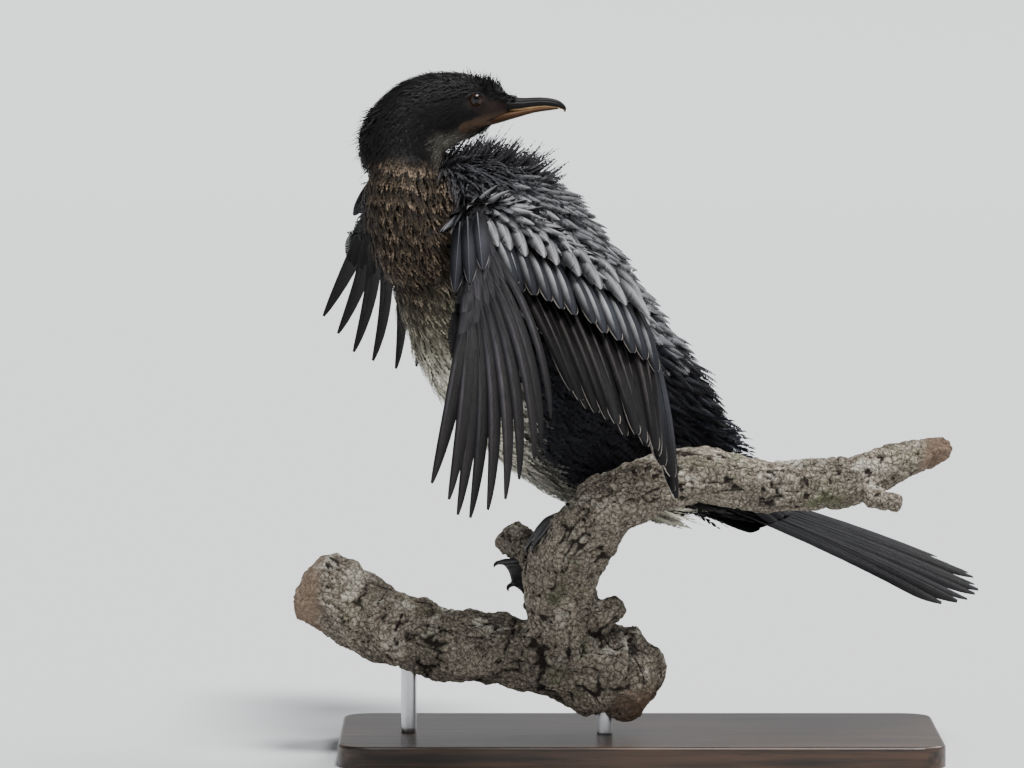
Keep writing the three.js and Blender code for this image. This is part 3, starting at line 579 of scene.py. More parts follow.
def make_quill_group():
    """QuillMarks: what runs along and across one feather, from its own map (across, along). Edge is 0 on the
    shaft and 1 on the vane's edge. Rim darkens the edge, Fringe is the thin pale line round the tip, Web
    picks the leading half, and Barbs are fine lines along the barbs."""
    n, source, sink = new_group("QuillMarks", [("RimFrom", "NodeSocketFloat", 0.6)], [(k, "NodeSocketFloat")
                                 for k in ("Rim", "Fringe", "Web", "Along", "Barbs", "Shaft")])
    uv = n.add("ShaderNodeUVMap", uv_map="Quill").outputs[0]
    split = n.add("ShaderNodeSeparateXYZ", {0: uv})
    u, v = split.outputs[0], split.outputs[1]
    edge = n.math("MULTIPLY", n.math("ABSOLUTE", n.math("SUBTRACT", u, 0.5)), 2.0)
    barb = n.attribute("Barb", "Fac")
    shaft = n.attribute("Shaft", "Fac")
    ragged = n.add("ShaderNodeTexNoise", {"W": n.math("MULTIPLY", barb, 1.3), "Scale": 1.0},
                   noise_dimensions="1D").outputs[0]
    worn = n.math("ADD", edge, n.math("MULTIPLY", n.math("SUBTRACT", ragged, 0.5), 0.12))
    rim = n.add("ShaderNodeMapRange",
                {"Value": worn, "From Min": source.outputs["RimFrom"], "From Max": 0.96},
                interpolation_type="SMOOTHSTEP").outputs[0]
    fringe = n.math("MULTIPLY", n.ramp(worn, 0.86, 0.93), n.ramp(v, 0.72, 0.92))
    lines = n.math("SINE", n.math("MULTIPLY", barb, 6.6))
    coarse = n.add("ShaderNodeTexNoise", {"W": barb, "Scale": 2.1, "Detail": 3.0},
                   noise_dimensions="1D").outputs[0]
    barbs = n.math("ADD", n.math("MULTIPLY", lines, 0.25), coarse)
    for key, value in {"Rim": rim, "Fringe": fringe, "Web": n.ramp(u, 0.47, 0.53), "Along": v, "Barbs": barbs,
                       "Shaft": shaft}.items():
        n.tree.links.new(value, sink.inputs[key])
    return n.tree


def new_material(name):
    material = bpy.data.materials.new(name)
    material.use_nodes = True
    material.node_tree.nodes.clear()
    n = Nodes(material.node_tree)
    shader = n.add("ShaderNodeBsdfPrincipled")
    out = n.add("ShaderNodeOutputMaterial")
    n.tree.links.new(shader.outputs[0], out.inputs[0])
    return material, n, shader


def set_surface(shader, **values):
    """Sets the shader's inputs, each named with _ for its spaces."""
    for key, value in values.items():
        shader.inputs[key.replace("_", " ")].default_value = value


def coat_material(name, roughness, sheen):
    """Soft plumes: the coat's own colours, with a light sheen where they turn away."""
    material, n, shader = new_material(name)
    n.mottled(shader, n.attribute("Coat"), 0.006, 0.85, 1.15)
    set_surface(shader, Roughness=roughness, Specular_IOR_Level=0.16, Sheen_Weight=sheen, Sheen_Roughness=0.4)
    return material


# Colours of one feather: leading web, trailing web, rim, fringe, tip and shaft
TINT_KEYS = ("Web", "Inner", "Rim", "Fringe", "Tip", "Rachis")


def quill_material(name, roughness, rim_from, shine):
    """Firm vanes: two webs, a dark rim, a thin pale fringe at the tip, a shaft, and barbs as a fine bump. The
    colours come from each feather's own attributes."""
    material, n, shader = new_material(name)
    marks = n.add("ShaderNodeGroup", {"RimFrom": rim_from}, node_tree=quill_group).outputs
    tint = {key: n.attribute(key) for key in TINT_KEYS}
    # The leading web's lighter colour holds a painted satin highlight on the flight feathers and a painted
    # gloss on the silver coverts
    colour = n.mix(marks["Web"], tint["Inner"], tint["Web"])
    colour = n.mix(n.ramp(marks["Along"], 0.55, 0.1), colour, tint["Rim"])
    colour = n.mix(n.ramp(marks["Along"], 0.45, 0.95), colour, tint["Tip"])
    gaps = n.math("MULTIPLY", n.math("SUBTRACT", marks["Barbs"], 0.45), 1.1, clamp=True)
    colour = n.mix(gaps, colour, rgba((0, 0, 0)))
    colour = n.mix(n.math("MULTIPLY", marks["Rim"], 0.9), colour, tint["Rim"])
    colour = n.mix(marks["Fringe"], colour, tint["Fringe"])
    colour = n.mix(marks["Shaft"], colour, tint["Rachis"])
    underside = n.add("ShaderNodeNewGeometry").outputs["Backfacing"]
    colour = n.mix(n.math("MULTIPLY", underside, 0.7), colour, rgba((0.009, 0.008, 0.008)))
    n.mottled(shader, colour, 0.008, 0.82, 1.18)
    n.bump(shader, marks["Barbs"], 0.00012, 0.6)
    set_surface(shader, Roughness=roughness, Specular_IOR_Level=shine)
    return material


def plain_material(name, colour, roughness, size=0.004, low=0.8, high=1.2, bump=0.0001, metallic=0.0,
                   coat=0.0, shine=0.5):
    """One colour, or where that is None the piece's own Coat colours, mottled, with a fine grain."""
    material, n, shader = new_material(name)
    mottle = n.mottled(shader, colour or n.attribute("Coat"), size, low, high)
    n.bump(shader, mottle.outputs["Grain"], bump, 0.7)
    set_surface(shader, Roughness=roughness, Metallic=metallic, Coat_Weight=coat, Specular_IOR_Level=shine,
                Coat_Roughness=0.08)
    return material


def bark_material():
    """Weathered bark: grey-brown plates parted by dark cracks, pale grey and green lichen on the upper side,
    and raw reddish wood where the attribute Broken says so."""
    material, n, shader = new_material("bark_weathered")
    at = n.place()
    crack = n.attribute("Crack", "Fac")
    broken = n.attribute("Broken", "Fac")
    upward = n.add("ShaderNodeSeparateXYZ", {0: n.add("ShaderNodeNewGeometry").outputs["Normal"]}).outputs[2]
    wander = n.add("ShaderNodeTexNoise", {"Vector": at, "Scale": 260.0, "Detail": 3.0}).outputs["Color"]
    bent = n.add("ShaderNodeVectorMath", {0: wander, 1: (0.004, 0.004, 0.004), 2: at},
                 operation="MULTIPLY_ADD").outputs[0]
    cells = n.add("ShaderNodeTexVoronoi", {"Vector": bent, "Scale": 330.0},
                  feature="DISTANCE_TO_EDGE").outputs["Distance"]
    flecks = n.cloud(at, 700.0, 6.0, Roughness=0.75)
    patches = n.cloud(at, 75.0, 6.0, Roughness=0.7)
    green = n.cloud(at, 48.0, 5.0, Roughness=0.7)
    fibres = n.cloud(at, 520.0, 4.0)
    colour = n.mix(n.ramp(flecks, 0.35, 0.68), rgba((0.085, 0.068, 0.050)), rgba((0.40, 0.35, 0.28)))
    grey = n.math("MULTIPLY", n.ramp(patches, 0.50, 0.62), n.ramp(upward, -0.4, 0.7))
    colour = n.mix(grey, colour, rgba((0.52, 0.49, 0.41)))
    colour = n.mix(n.math("MULTIPLY", n.ramp(green, 0.54, 0.70), 0.75), colour, rgba((0.085, 0.098, 0.045)))
    deep = n.math("MAXIMUM", n.ramp(crack, 0.35, 1.0), n.ramp(cells, 0.10, 0.0, 0.0, 0.65))
    colour = n.mix(deep, colour, rgba((0.016, 0.012, 0.009)))
    raw = n.mix(fibres, rgba((0.060, 0.038, 0.026)), rgba((0.27, 0.19, 0.135)))
    colour = n.mix(broken, colour, raw)
    n.mottled(shader, colour, 0.018, 0.55, 1.5)
    height = n.math("ADD", n.ramp(cells, 0.0, 0.22), n.math("MULTIPLY", flecks, 1.4))
    n.bump(shader, height, 0.0007, 0.9)
    set_surface(shader, Roughness=0.88, Specular_IOR_Level=0.25)
    return material


def wood_material():
    """Dark varnished wood: streaks of two browns drawn out along X, under a thin clear coat."""
    material, n, shader = new_material("base_varnished")
    drawn = n.add("ShaderNodeVectorMath", {0: n.place(), 1: (0.05, 1.0, 1.0)},
                  operation="MULTIPLY").outputs[0]
    streaks = n.cloud(drawn, 260.0, 6.0, Distortion=0.6)
    pores = n.cloud(drawn, 1600.0, 2.0)
    colour = n.mix(n.ramp(streaks, 0.3, 0.7), rgba((0.010, 0.006, 0.004)), rgba((0.055, 0.029, 0.016)))
    colour = n.mix(n.ramp(pores, 0.62, 0.72, 0.0, 0.6), colour, rgba((0.006, 0.004, 0.003)))
    n.tree.links.new(colour, shader.inputs["Base Color"])
    n.bump(shader, streaks, 0.00004, 0.5)
    set_surface(shader, Roughness=0.42, Specular_IOR_Level=0.35, Coat_Weight=0.15, Coat_Roughness=0.2)
    return material


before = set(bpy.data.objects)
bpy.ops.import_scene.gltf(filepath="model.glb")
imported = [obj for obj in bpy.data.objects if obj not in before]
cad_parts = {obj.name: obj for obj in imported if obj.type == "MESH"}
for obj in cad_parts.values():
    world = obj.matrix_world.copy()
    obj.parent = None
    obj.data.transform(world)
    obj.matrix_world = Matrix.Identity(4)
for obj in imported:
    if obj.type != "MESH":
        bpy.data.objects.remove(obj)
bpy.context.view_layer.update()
mottle_group = make_mottle_group()
quill_group = make_quill_group()
looks = {
    "coat_soft": coat_material("coat_soft", 0.72, 0.04),
    "coat_sleek": coat_material("coat_sleek", 0.58, 0.02),
    "quill_satin": quill_material("quill_satin", 0.62, 0.15, 0.05),
    "quill_small": quill_material("quill_small", 0.60, 0.15, 0.08),
    "quill_gloss": quill_material("quill_gloss", 0.55, 0.12, 0.06),
    "skin": plain_material("skin", None, 0.62, size=0.003, bump=0.0003, shine=0.2),
    "horn": plain_material("horn", None, 0.48, size=0.006, low=0.75, high=1.2, bump=0.00006, shine=0.15),
    "eye": plain_material("eye_wet", None, 0.12, size=0.002, low=0.9, high=1.1, bump=0.0, shine=0.3),
    "foot": plain_material("foot_skin", None, 0.34, size=0.002, bump=0.0002, coat=0.2),
    "bark": bark_material(),
    "base": wood_material(),
    "rod": plain_material("rod_brushed", (0.50, 0.50, 0.51), 0.3, size=0.003, low=0.95, high=1.05,
                          bump=0.00001, metallic=1.0),
    "claw": plain_material("claw_horn", (0.02, 0.016, 0.014), 0.25, size=0.003, coat=0.3),
}


def place_piece(piece, look, slot, nodes=()):
    """Gives a finished piece its look, fixes it to the root and hides the solids it stands for. slot is not
    used.
    """
    piece.data.materials.append(looks[look])
    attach(piece, "root")
    if nodes:
        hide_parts(*nodes)
    return piece


# Skin
WING_LIFT = math.radians(24)
SPINE_POINT = np.array([-80.4, -22, 240.0])
SHOULDER = np.array([-72, -48, 240.0])


def mirrored(d):
    """A direction across the body's own middle plane."""
    d = np.asarray(d, float)
    return d - 2 * (d @ LEFT)[..., None] * LEFT


def turned(d, axis, angle):
    """Directions turned about a unit axis."""
    d = np.asarray(d, float)
    along = axis * (d @ axis)[..., None]
    return d * math.cos(angle) + np.cross(axis, d) * math.sin(angle) + along * (1 - math.cos(angle))


RIGHT_SHOULDER = mirrored(SHOULDER - SPINE_POINT) + SPINE_POINT


def right_place(p):
    """A place on the left wing carried to the right one, which is lifted a little further."""
    across = mirrored(np.asarray(p, float) - SPINE_POINT) + SPINE_POINT
    return turned(across - RIGHT_SHOULDER, BACK, WING_LIFT) + RIGHT_SHOULDER


def right_turn(d):
    """A direction on the left wing carried to the right one."""
    return turned(mirrored(d), BACK, WING_LIFT)


ARM_SIDE = np.array([0.15, -0.9, 0.25])
LEG_SIDE = np.array([0, 1, 0.1])
arm = np.array(ARM, float)
right_arm = np.hstack([right_place(arm[:, :3]), arm[:, 3:]])
EYE_RADIUS = 3.5
EYES = {"left": (-73.5, -24 + 8.4, 295.2), "right": (-73.5, -24 - 8.4, 295.2)}
LID_STEPS, LID_SIDES = 40, 10
HEAD_MIDDLE = (-75, -24, 292)


def eyelid(centre, sign):
    """A ring of skin round an eye: a circle in the head's side, a little longer than high, swept by a small
    circle."""
    t = np.linspace(0, 2 * np.pi, LID_STEPS, endpoint=False)
    a = np.linspace(0, 2 * np.pi, LID_SIDES, endpoint=False)
    out = HEAD_LEFT * sign
    front = np.cross(out, UP)
    radial = front * np.cos(t)[:, None] * 1.12 + UP * np.sin(t)[:, None] * 0.86
    ring = np.array(centre) + out * 1.5 + radial * (EYE_RADIUS + 0.1)
    verts = ring[:, None] + (unit(radial)[:, None] * np.cos(a)[None, :, None]
                             + out * np.sin(a)[None, :, None]) * 0.95
    # The last ring's quads join it to the first
    faces = ring_faces(LID_STEPS + 1, LID_SIDES) % (LID_STEPS * LID_SIDES)
    return verts.reshape(-1, 3), [faces]


skin = fused("skin", [
    tube(TORSO, LEFT, shrink=BODY_COAT), tube(MANTLE, LEFT, shrink=BODY_COAT),
    tube(NECK, LEFT, shrink=NECK_COAT), tube(HEAD, HEAD_LEFT, shrink=HEAD_COAT),
    tube(arm, ARM_SIDE, shrink=WING_COAT), tube(right_arm, right_turn(ARM_SIDE), shrink=WING_COAT),
    tube(LEFT_THIGH, LEG_SIDE, shrink=LEG_COAT), tube(RIGHT_THIGH, LEG_SIDE, shrink=LEG_COAT),
    eyelid(EYES["left"], 1), eyelid(EYES["right"], -1),
], voxel=1.25, soften=3)
surface = arrays(skin)
skin_points = surface[0]

FACE_BROWN = (0.014, 0.0075, 0.006)
THROAT_BROWN = (0.070, 0.042, 0.026)
# The bare skin, seen from the side: the face from the eye to the bill's base, and the throat under the
# mouth's corner, each with how far it reaches from its line
LORES = [(-74, 294.5), (-69, 291.8), (-63, 291.5)]
GULAR = [(-79, 282.8), (-74, 284.6), (-67, 287)]
LORES_REACH, GULAR_REACH = 3.9, 2.7


def bare_face(points):
    """1 on the bare skin, near either of its lines and off the head's middle plane."""
    side = points[:, (0, 2)]
    near = np.full(len(points), 99.0)
    for line, reach in ((LORES, LORES_REACH), (GULAR, GULAR_REACH)):
        dots = np.array([np.array(line[i]) * (1 - t) + np.array(line[i + 1]) * t
                         for i in range(len(line) - 1) for t in np.linspace(0, 1, 8)])
        near = np.minimum(near, np.sqrt(((side[:, None] - dots) ** 2).sum(-1)).min(1) / reach)
    aside = np.abs((points - HEAD_MIDDLE) @ HEAD_LEFT) + (points[:, 0] > -70) * 6
    return smoothstep(1.05, 0.9, near) * smoothstep(4, 6.5, aside)


low, high = coat_colours(skin_points)
skin_rgb = mix(low, high, np.full(len(low), 0.1))
gular = smoothstep(288, 284.5, skin_points[:, 2] - 0.25 * (skin_points[:, 0] + 75))
gular = gular * smoothstep(-86, -80, skin_points[:, 0])
face_rgb = mix(FACE_BROWN, THROAT_BROWN, gular)
skin_rgb = mix(skin_rgb, face_rgb, bare_face(skin_points))
add_colours(skin.data, "Coat", skin_rgb)
place_piece(skin, "skin", "coat_body",
            ["torso", "neck", "head", "leg_left", "leg_right", "wing_left_arm", "wing_right_arm"])


# Soft coat
# The wings' flesh is flat, so its surface lies nearer its middle line than its mean half-width
WING_FLAT = 0.75
# Red of a plume's tip from which it belongs to the neck and not to the mantle
PALE_FROM = 0.06


def on_arm(points):
    """1 on the wings' flesh, outside the body."""
    wing = closeness(points, arm, right_arm) * WING_FLAT
    return (wing < closeness(points, TORSO, MANTLE, NECK)) * (points[:, 2] > 190)


def region(low, high, where):
    """A test for places between low and high along the spine, off the wings, that pass where too."""
    def keep(points):
        place, _ = spine_place(points)
        return (place >= low) * (place < high) * (1 - on_arm(points)) * where(points)
    return keep


def belly_side(points):
    """True below and on the sides, measured round the spine."""
    _, angle = spine_place(points)
    return np.sin(2 * np.pi * (angle - 0.5)) > -0.25


def combed(root, out, lie, spread):
    """Directions laid flat on the skin along the coat's flow, or along lie, and turned at random by
    spread."""
    flat = flow(root, out) if lie is None else unit(lie - out * (out @ lie)[:, None])
    turn = rng.normal(0, spread, len(root))[:, None]
    return unit(flat * np.cos(turn) + np.cross(out, flat) * np.sin(turn))


def skin_patches(root_place, who, u, v):
    """Each feather's small OFBake patch, at its root's place on the skin unrolled round the spine."""
    place, angle = root_place
    return np.stack([angle[who] + (u - 0.5) * BAKE_PATCH, place[who] + (v - 0.5) * BAKE_PATCH], -1)


def soft_piece(name, built, low, high, root_place, look, slot):
    """Plumes as a finished piece, coloured from low at the root to high at the tip, lighter or darker at
    random."""
    verts, faces, u, v, who, _, _ = built
    tone = np.exp(rng.normal(0, 0.18, len(low)))[:, None]
    rgb = mix((low * tone)[who], (high * tone)[who], smoothstep(0.3, 0.95, v))
    piece = mesh_piece(name, verts, faces, {"OFBake": skin_patches(root_place, who, u, v)},
                       {"Coat": np.clip(rgb, 0, 1)})
    return place_piece(piece, look, slot)


def coat_piece(name, places, length, half, look, slot, lean=0.45, spread=0.25, lie=None, colours=coat_colours,
               **shape):
    """A coat of small plumes: each leaves the skin leaning along the coat's flow, turned at random by
    spread."""
    root, out = places
    flat = combed(root, out, lie, spread)
    tilt = lean + rng.normal(0, 0.1, len(root))
    low, high = colours(root)
    size = length * rng.uniform(0.75, 1.2, len(root))
    built = plumes(root - out * 0.4, flat, out, size, (half, half), lift=tilt, droop=tilt * 0.7, **shape)
    return soft_piece(name, built, low, high, spine_place(root), look, slot)


def off_face(points):
    return bare_face(points) < 0.5


def back_side(points):
    return ~belly_side(points)


def pale_tips(points):
    """True where the plumes' tips are pale, as on the neck and breast."""
    return coat_colours(points)[1][:, 0] > PALE_FROM


def dark_tips(points):
    return ~pale_tips(points)


def coat_over(name, spacing, low, high, where, length, half, slot, look="coat_soft", **shape):
    """A coat over the part of the spine from low to high, with plumes this far apart."""
    coat_piece(name, scatter(surface, spacing, region(low, high, where)), length, half, look, slot, **shape)


coat_over("coat_head", 1.15, 0.0, 0.34, off_face, 5.4, 0.5, "coat_black", look="coat_sleek",
          lean=0.42, spread=0.3, strips=3, steps=1, fill=0.35, outline=(0.3, 0.3, 0.9), ragged=0.2)
coat_over("coat_neck", 1.55, 0.34, 0.60, pale_tips, 7.5, 0.85, "coat_neck",
          lean=0.55, spread=0.25, strips=4, steps=1, fill=0.22, outline=(0.3, 0.35, 0.9), ragged=0.3)
for name, spacing, low, high, length, half in (("coat_breast", 2.2, 0.60, 0.74, 12.5, 1.5),
                                               ("coat_belly", 2.3, 0.74, 1.01, 13, 1.6)):
    coat_over(name, spacing, low, high, belly_side, length, half, "coat_body",
              lean=0.5, spread=0.3, strips=5, steps=2, fill=0.2, outline=(0.3, 0.4, 0.8), ragged=0.3)
coat_over("coat_back", 2.3, 0.60, 1.01, back_side, 12, 1.3, "coat_body",
          lean=0.5, spread=0.3, strips=4, steps=2, fill=0.3, outline=(0.3, 0.3, 0.8), ragged=0.25)
coat_over("coat_mantle", 1.9, 0.34, 0.60, dark_tips, 13, 0.8, "coat_body",
          lean=0.75, spread=0.4, strips=4, steps=1, fill=0.3, outline=(0.3, 0.3, 0.8), ragged=0.3)


def arm_colours(points):
    """The wings' small plumes: dark grey at the root, silver-grey at the tip, both mottled from plume to
    plume."""
    shade = 0.6 + 0.8 * rng.random((len(points), 1))
    return np.array([0.006, 0.006, 0.007]) * shade, np.array([0.05, 0.05, 0.056]) * shade


def on_side(points, side):
    """1 on the flesh of the wing on that side."""
    return on_arm(points) * ((points @ LEFT > -20) == (side == "left"))


ARM_LIE = np.array([0.45, -0.5, -0.72])
for side, lie in (("left", ARM_LIE), ("right", right_turn(ARM_LIE))):
    coat_piece(f"coat_arm_{side}", scatter(surface, 3.0, lambda p: on_side(p, side)), 10, 2.6, "coat_soft",
               "wing_feathers", lean=0.3, spread=0.2, lie=lie, colours=arm_colours, strips=6, steps=2,
               fill=0.6, outline=(0.3, 0.5, 0.5))


# Firm feathers
def vanes(name, places, look, slot, tints, row_of, bake_root=None, flip=False, nodes=(), **shape):
    """Firm feathers as one piece with their colours. places is (root, along, face, length, halves). A feather
    takes one cell of a square OFBake grid, or where bake_root is given a small patch at its root's place on
    the unrolled skin."""
    root, along, face, length, sides = places
    verts, faces, u, v, who, mark, barb = plumes(root, along, face, length, sides, **shape)
    u = 1 - u if flip else u
    if bake_root is None:
        cells = math.ceil(math.sqrt(len(root)))
        bake = np.stack([(who % cells + 0.05 + 0.9 * u) / cells, (who // cells + 0.05 + 0.9 * v) / cells], -1)
    else:
        bake = skin_patches(bake_root, who, u, v)
    tone = np.exp(rng.normal(0, 0.2, len(root)))[:, None]
    colours = {key: np.clip(np.array(rows)[row_of] * tone, 0, 1)[who] for key, rows in tints.items()}
    piece = mesh_piece(name, verts, faces, {"Quill": np.stack([u, v], -1), "OFBake": bake}, colours,
                       {"Barb": barb, "Shaft": mark})
    return place_piece(piece, look, slot, nodes)


def spaced(line, count):
    """Evenly spaced places on the curve through the line's points, or its only point again and again."""
    if len(line) == 1:
        return np.tile(line[0], (count, 1)).astype(float)
    return curve(line, np.linspace(0, 1, count))


def quill_piece(name, rows, look, slot, tints, mirror=False, roll=0.22, reverse=False, **shape):
    """Rows of firm feathers as one piece. A row gives count, half-widths (leading, trailing), bow in
    millimetres, and root, tip and face lines that its feathers are spread along. mirror carries them to the
    right wing, and reverse changes the leading side over."""
    counts = [row[0] for row in rows]
    half = np.repeat(np.array([row[1] for row in rows], float), counts, axis=0)
    bow = np.repeat([float(row[2]) for row in rows], counts)
    row_of = np.repeat(np.arange(len(rows)), counts)
    root, tip, face = (np.vstack([spaced(row[k], row[0]) for row in rows]) for k in (3, 4, 5))
    tip = tip + rng.normal(0, 0.7, (len(root), 3))
    if mirror:
        root, tip, face = right_place(root), right_place(tip), right_turn(face)
    along = unit(tip - root)
    face = unit(face - along * (face * along).sum(1, keepdims=True))
    lead = np.cross(along, face) * (-1 if mirror else 1)
    turn = roll + rng.normal(0, 0.05, len(root))
    face = unit(face - lead * np.tan(turn)[:, None])
    length = np.linalg.norm(tip - root, axis=1)
    arch = 4 * bow / length
    sides = (half[:, 0], half[:, 1]) if mirror else (half[:, 1], half[:, 0])
    return vanes(name, (root, along, face, length, sides), look, slot, tints, row_of,
                 flip=mirror or reverse, lift=arch, droop=arch, **shape)


def leaf_piece(name, places, length, half, look, slot, colours, lean, lie=None, spread=0.15, flip=False,
               **shape):
    """Small firm feathers scattered over the skin, leaning along the coat's flow."""
    root, out = places
    flat = combed(root, out, lie, spread)
    size = length * rng.uniform(0.8, 1.2, len(root))
    tilt = lean + rng.normal(0, 0.15, len(root))
    sides = (np.full(len(root), half), np.full(len(root), half))
    return vanes(name, (root, flat, out, size, sides), look, slot, tints([colours]), np.zeros(len(root), int),
                 bake_root=spine_place(root), flip=flip, lift=tilt, droop=tilt * 0.4, **shape)


def tints(rows):
    """Colour lists, one entry a row, for the quills' attributes."""
    return dict(zip(TINT_KEYS, zip(*rows)))


BLACK = (0.005, 0.005, 0.006)
SOOT = (0.009, 0.0085, 0.009)
BROWN_BLACK = (0.005, 0.004, 0.004)
SLATE = (0.022, 0.023, 0.028)
# Silver-grey of the coverts' leading webs, lightened further by a painted gloss highlight
SILVER_AND_SHEEN = (0.30, 0.30, 0.31)
STEEL = (0.018, 0.019, 0.024)
# Mauve-grey: a painted satin highlight on the primaries' near-black leading web
SATIN_SHEEN_MAUVE = (0.060, 0.055, 0.062)
PALE = (0.20, 0.18, 0.16)
# Dusky grey: a painted satin highlight on the secondaries' near-black leading web
SATIN_SHEEN_DUSK = (0.062, 0.056, 0.054)

OUT = np.array([0.1, -0.86, 0.5])
OUT_UP = np.array([0.1, -0.72, 0.6])
DOWN_IN = np.array([-0.1, 0.6, -0.7])

# Leading web, trailing web, rim, fringe, tip and shaft colours of each kind of feather
COVERT = (SILVER_AND_SHEEN, STEEL, BLACK, PALE, STEEL, BLACK)
SMALL_COVERT = (SILVER_AND_SHEEN, (0.13, 0.13, 0.14), BLACK, (0.20, 0.19, 0.18), SILVER_AND_SHEEN, SLATE)
SECONDARY = (SATIN_SHEEN_DUSK, BROWN_BLACK, BLACK, PALE, SOOT, BLACK)
TERTIAL = (SLATE, SLATE, BLACK, PALE, SOOT, BLACK)
PRIMARY = (SATIN_SHEEN_MAUVE, BROWN_BLACK, BLACK, SOOT, (0.014, 0.012, 0.012), (0.05, 0.045, 0.045))
PRIMARY_COVERT = ((0.036, 0.032, 0.038), (0.014, 0.013, 0.016), BLACK, (0.12, 0.11, 0.11), SATIN_SHEEN_MAUVE,
                  (0.006, 0.006, 0.007))
ALULA = ((0.030, 0.031, 0.038), (0.036, 0.036, 0.045), BLACK, (0.16, 0.15, 0.15), SLATE, (0.26, 0.27, 0.29))
TAIL_FEATHER = ((0.010, 0.010, 0.012), SOOT, BLACK, BLACK, SOOT, (0.03, 0.033, 0.04))
UNDER_COVERT = (BROWN_BLACK, BROWN_BLACK, BLACK, SOOT, BROWN_BLACK, BLACK)


def v3(*rows):
    """Each row as an array."""
    return [np.array(r, float) for r in rows]


LONG_ROWS = [
    (12, (2.0, 6.6), 5, v3((-66, -80, 238), (-36.6, -76, 220), (-3, -71, 203)),
     v3((-31.7, -125, 170.5), (-18.4, -127, 159.9), (-3, -122, 150.5), (5, -110, 143)),
     [OUT, np.array([0.3, -0.85, 0.4])]),
    (4, (4.0, 6.0), 4, v3((-2.5, -70, 201), (1, -67, 199), (2, -63, 197)),
     v3((8.5, -103, 138), (12, -90, 128), (13, -77, 120)), v3((0.3, -0.85, 0.4), (0.6, -0.75, 0.3))),
]
COVERT_ROWS = [
    (12, (2.6, 5.4), 4, v3((-68, -81.5, 242), (-38, -77, 226), (-5, -72, 208)),
     v3((-57.6, -107, 216.8), (-38.9, -107, 207), (-15, -103, 195), (4.4, -91, 177)), [OUT_UP, OUT]),
]
MEDIAN_ROWS = [
    (9, (3.6, 4.4), 4, v3((-72, -80, 248), (-45, -73, 237), (-14, -67, 221)),
     v3((-64, -97, 233), (-36.7, -94.5, 224.5), (2.5, -85, 200)), [OUT_UP]),
]
SMALL_ROWS = [
    (9, (3.0, 3.4), 3, v3((-76, -76, 250), (-50, -70, 243), (-14, -64, 224)),
     v3((-69, -89, 241.5), (-41, -87, 233), (0, -79, 209)), v3((0, -0.6, 0.8))),
]
UNDER_ROWS = [
    (12, (4.5, 5.5), -2, v3((-66, -77, 234), (-36, -73, 217), (-3, -68, 200)),
     v3((-48, -104, 200), (-32, -103, 189), (-12, -99, 177), (0, -89, 166)), [DOWN_IN]),
    (10, (4.2, 4.6), -2, v3((-70, -70, 236), (-42, -66, 222), (-6, -64, 203)),
     v3((-56, -91, 215), (-34, -89, 203), (-6, -83, 186)), [DOWN_IN]),
]


def wing_rows(name, side, rows, look, colours, **shape):
    """Rows of firm feathers on the arm of one wing."""
    quill_piece(name, rows, look, "wing_feathers", tints(colours), side == "right", steps=3, **shape)


for side in ("left", "right"):
    wing_rows(f"flight_{side}_arm", side, LONG_ROWS, "quill_satin", [SECONDARY, TERTIAL], strips=26,
              outline=(0.25, 0.80, 0.55), advance=0.12, shaft=0.4, ragged=0.03, cup=0.9, fill=0.97)
    wing_rows(f"coverts_{side}", side, COVERT_ROWS, "quill_satin", [COVERT], strips=24,
              outline=(0.3, 0.66, 0.55), advance=0.18, shaft=0.32, ragged=0.05, cup=1.1, fill=0.96)
    wing_rows(f"median_coverts_{side}", side, MEDIAN_ROWS, "quill_small", [SMALL_COVERT], strips=22,
              outline=(0.3, 0.45, 0.7), advance=0.24, shaft=0.28, ragged=0.14, cup=1.2, fill=0.86, split=0.05)
    wing_rows(f"small_coverts_{side}", side, SMALL_ROWS, "quill_small", [SMALL_COVERT], strips=18,
              outline=(0.35, 0.35, 0.8), advance=0.28, shaft=0.2, ragged=0.18, cup=1.0, fill=0.72, split=0.14)
    wing_rows(f"under_coverts_{side}", side, UNDER_ROWS, "quill_satin", [UNDER_COVERT] * 2, roll=-0.1,
              strips=18, outline=(0.3, 0.6, 0.6), advance=0.2, shaft=0.2, ragged=0.06, cup=0.5, fill=0.9)

MANTLE_LEAF = ((0.20, 0.20, 0.21), (0.11, 0.11, 0.12), BLACK, (0.15, 0.145, 0.14), (0.15, 0.15, 0.16), BLACK)
RUMP_LEAF = ((0.010, 0.011, 0.016), (0.010, 0.011, 0.016), BLACK, BLACK, SOOT, BLACK)
WING_LIE = np.array([0.70, -0.32, -0.63])


def on_mantle(points):
    """1 on the rear of the back above the rump, where the larger scaled feathers grow."""
    above = closeness(points, NECK, HEAD, TORSO) > closeness(points, MANTLE)
    return (points @ BACK > -72) * (points[:, 2] > 180) * above * (1 - on_arm(points))


def on_rump(points):
    """1 on the rump, behind the wings and above the tail."""
    place, angle = spine_place(points)
    return (place > 0.66) * (points[:, 2] < 188) * (np.sin(2 * np.pi * (angle - 0.5)) < -0.2)


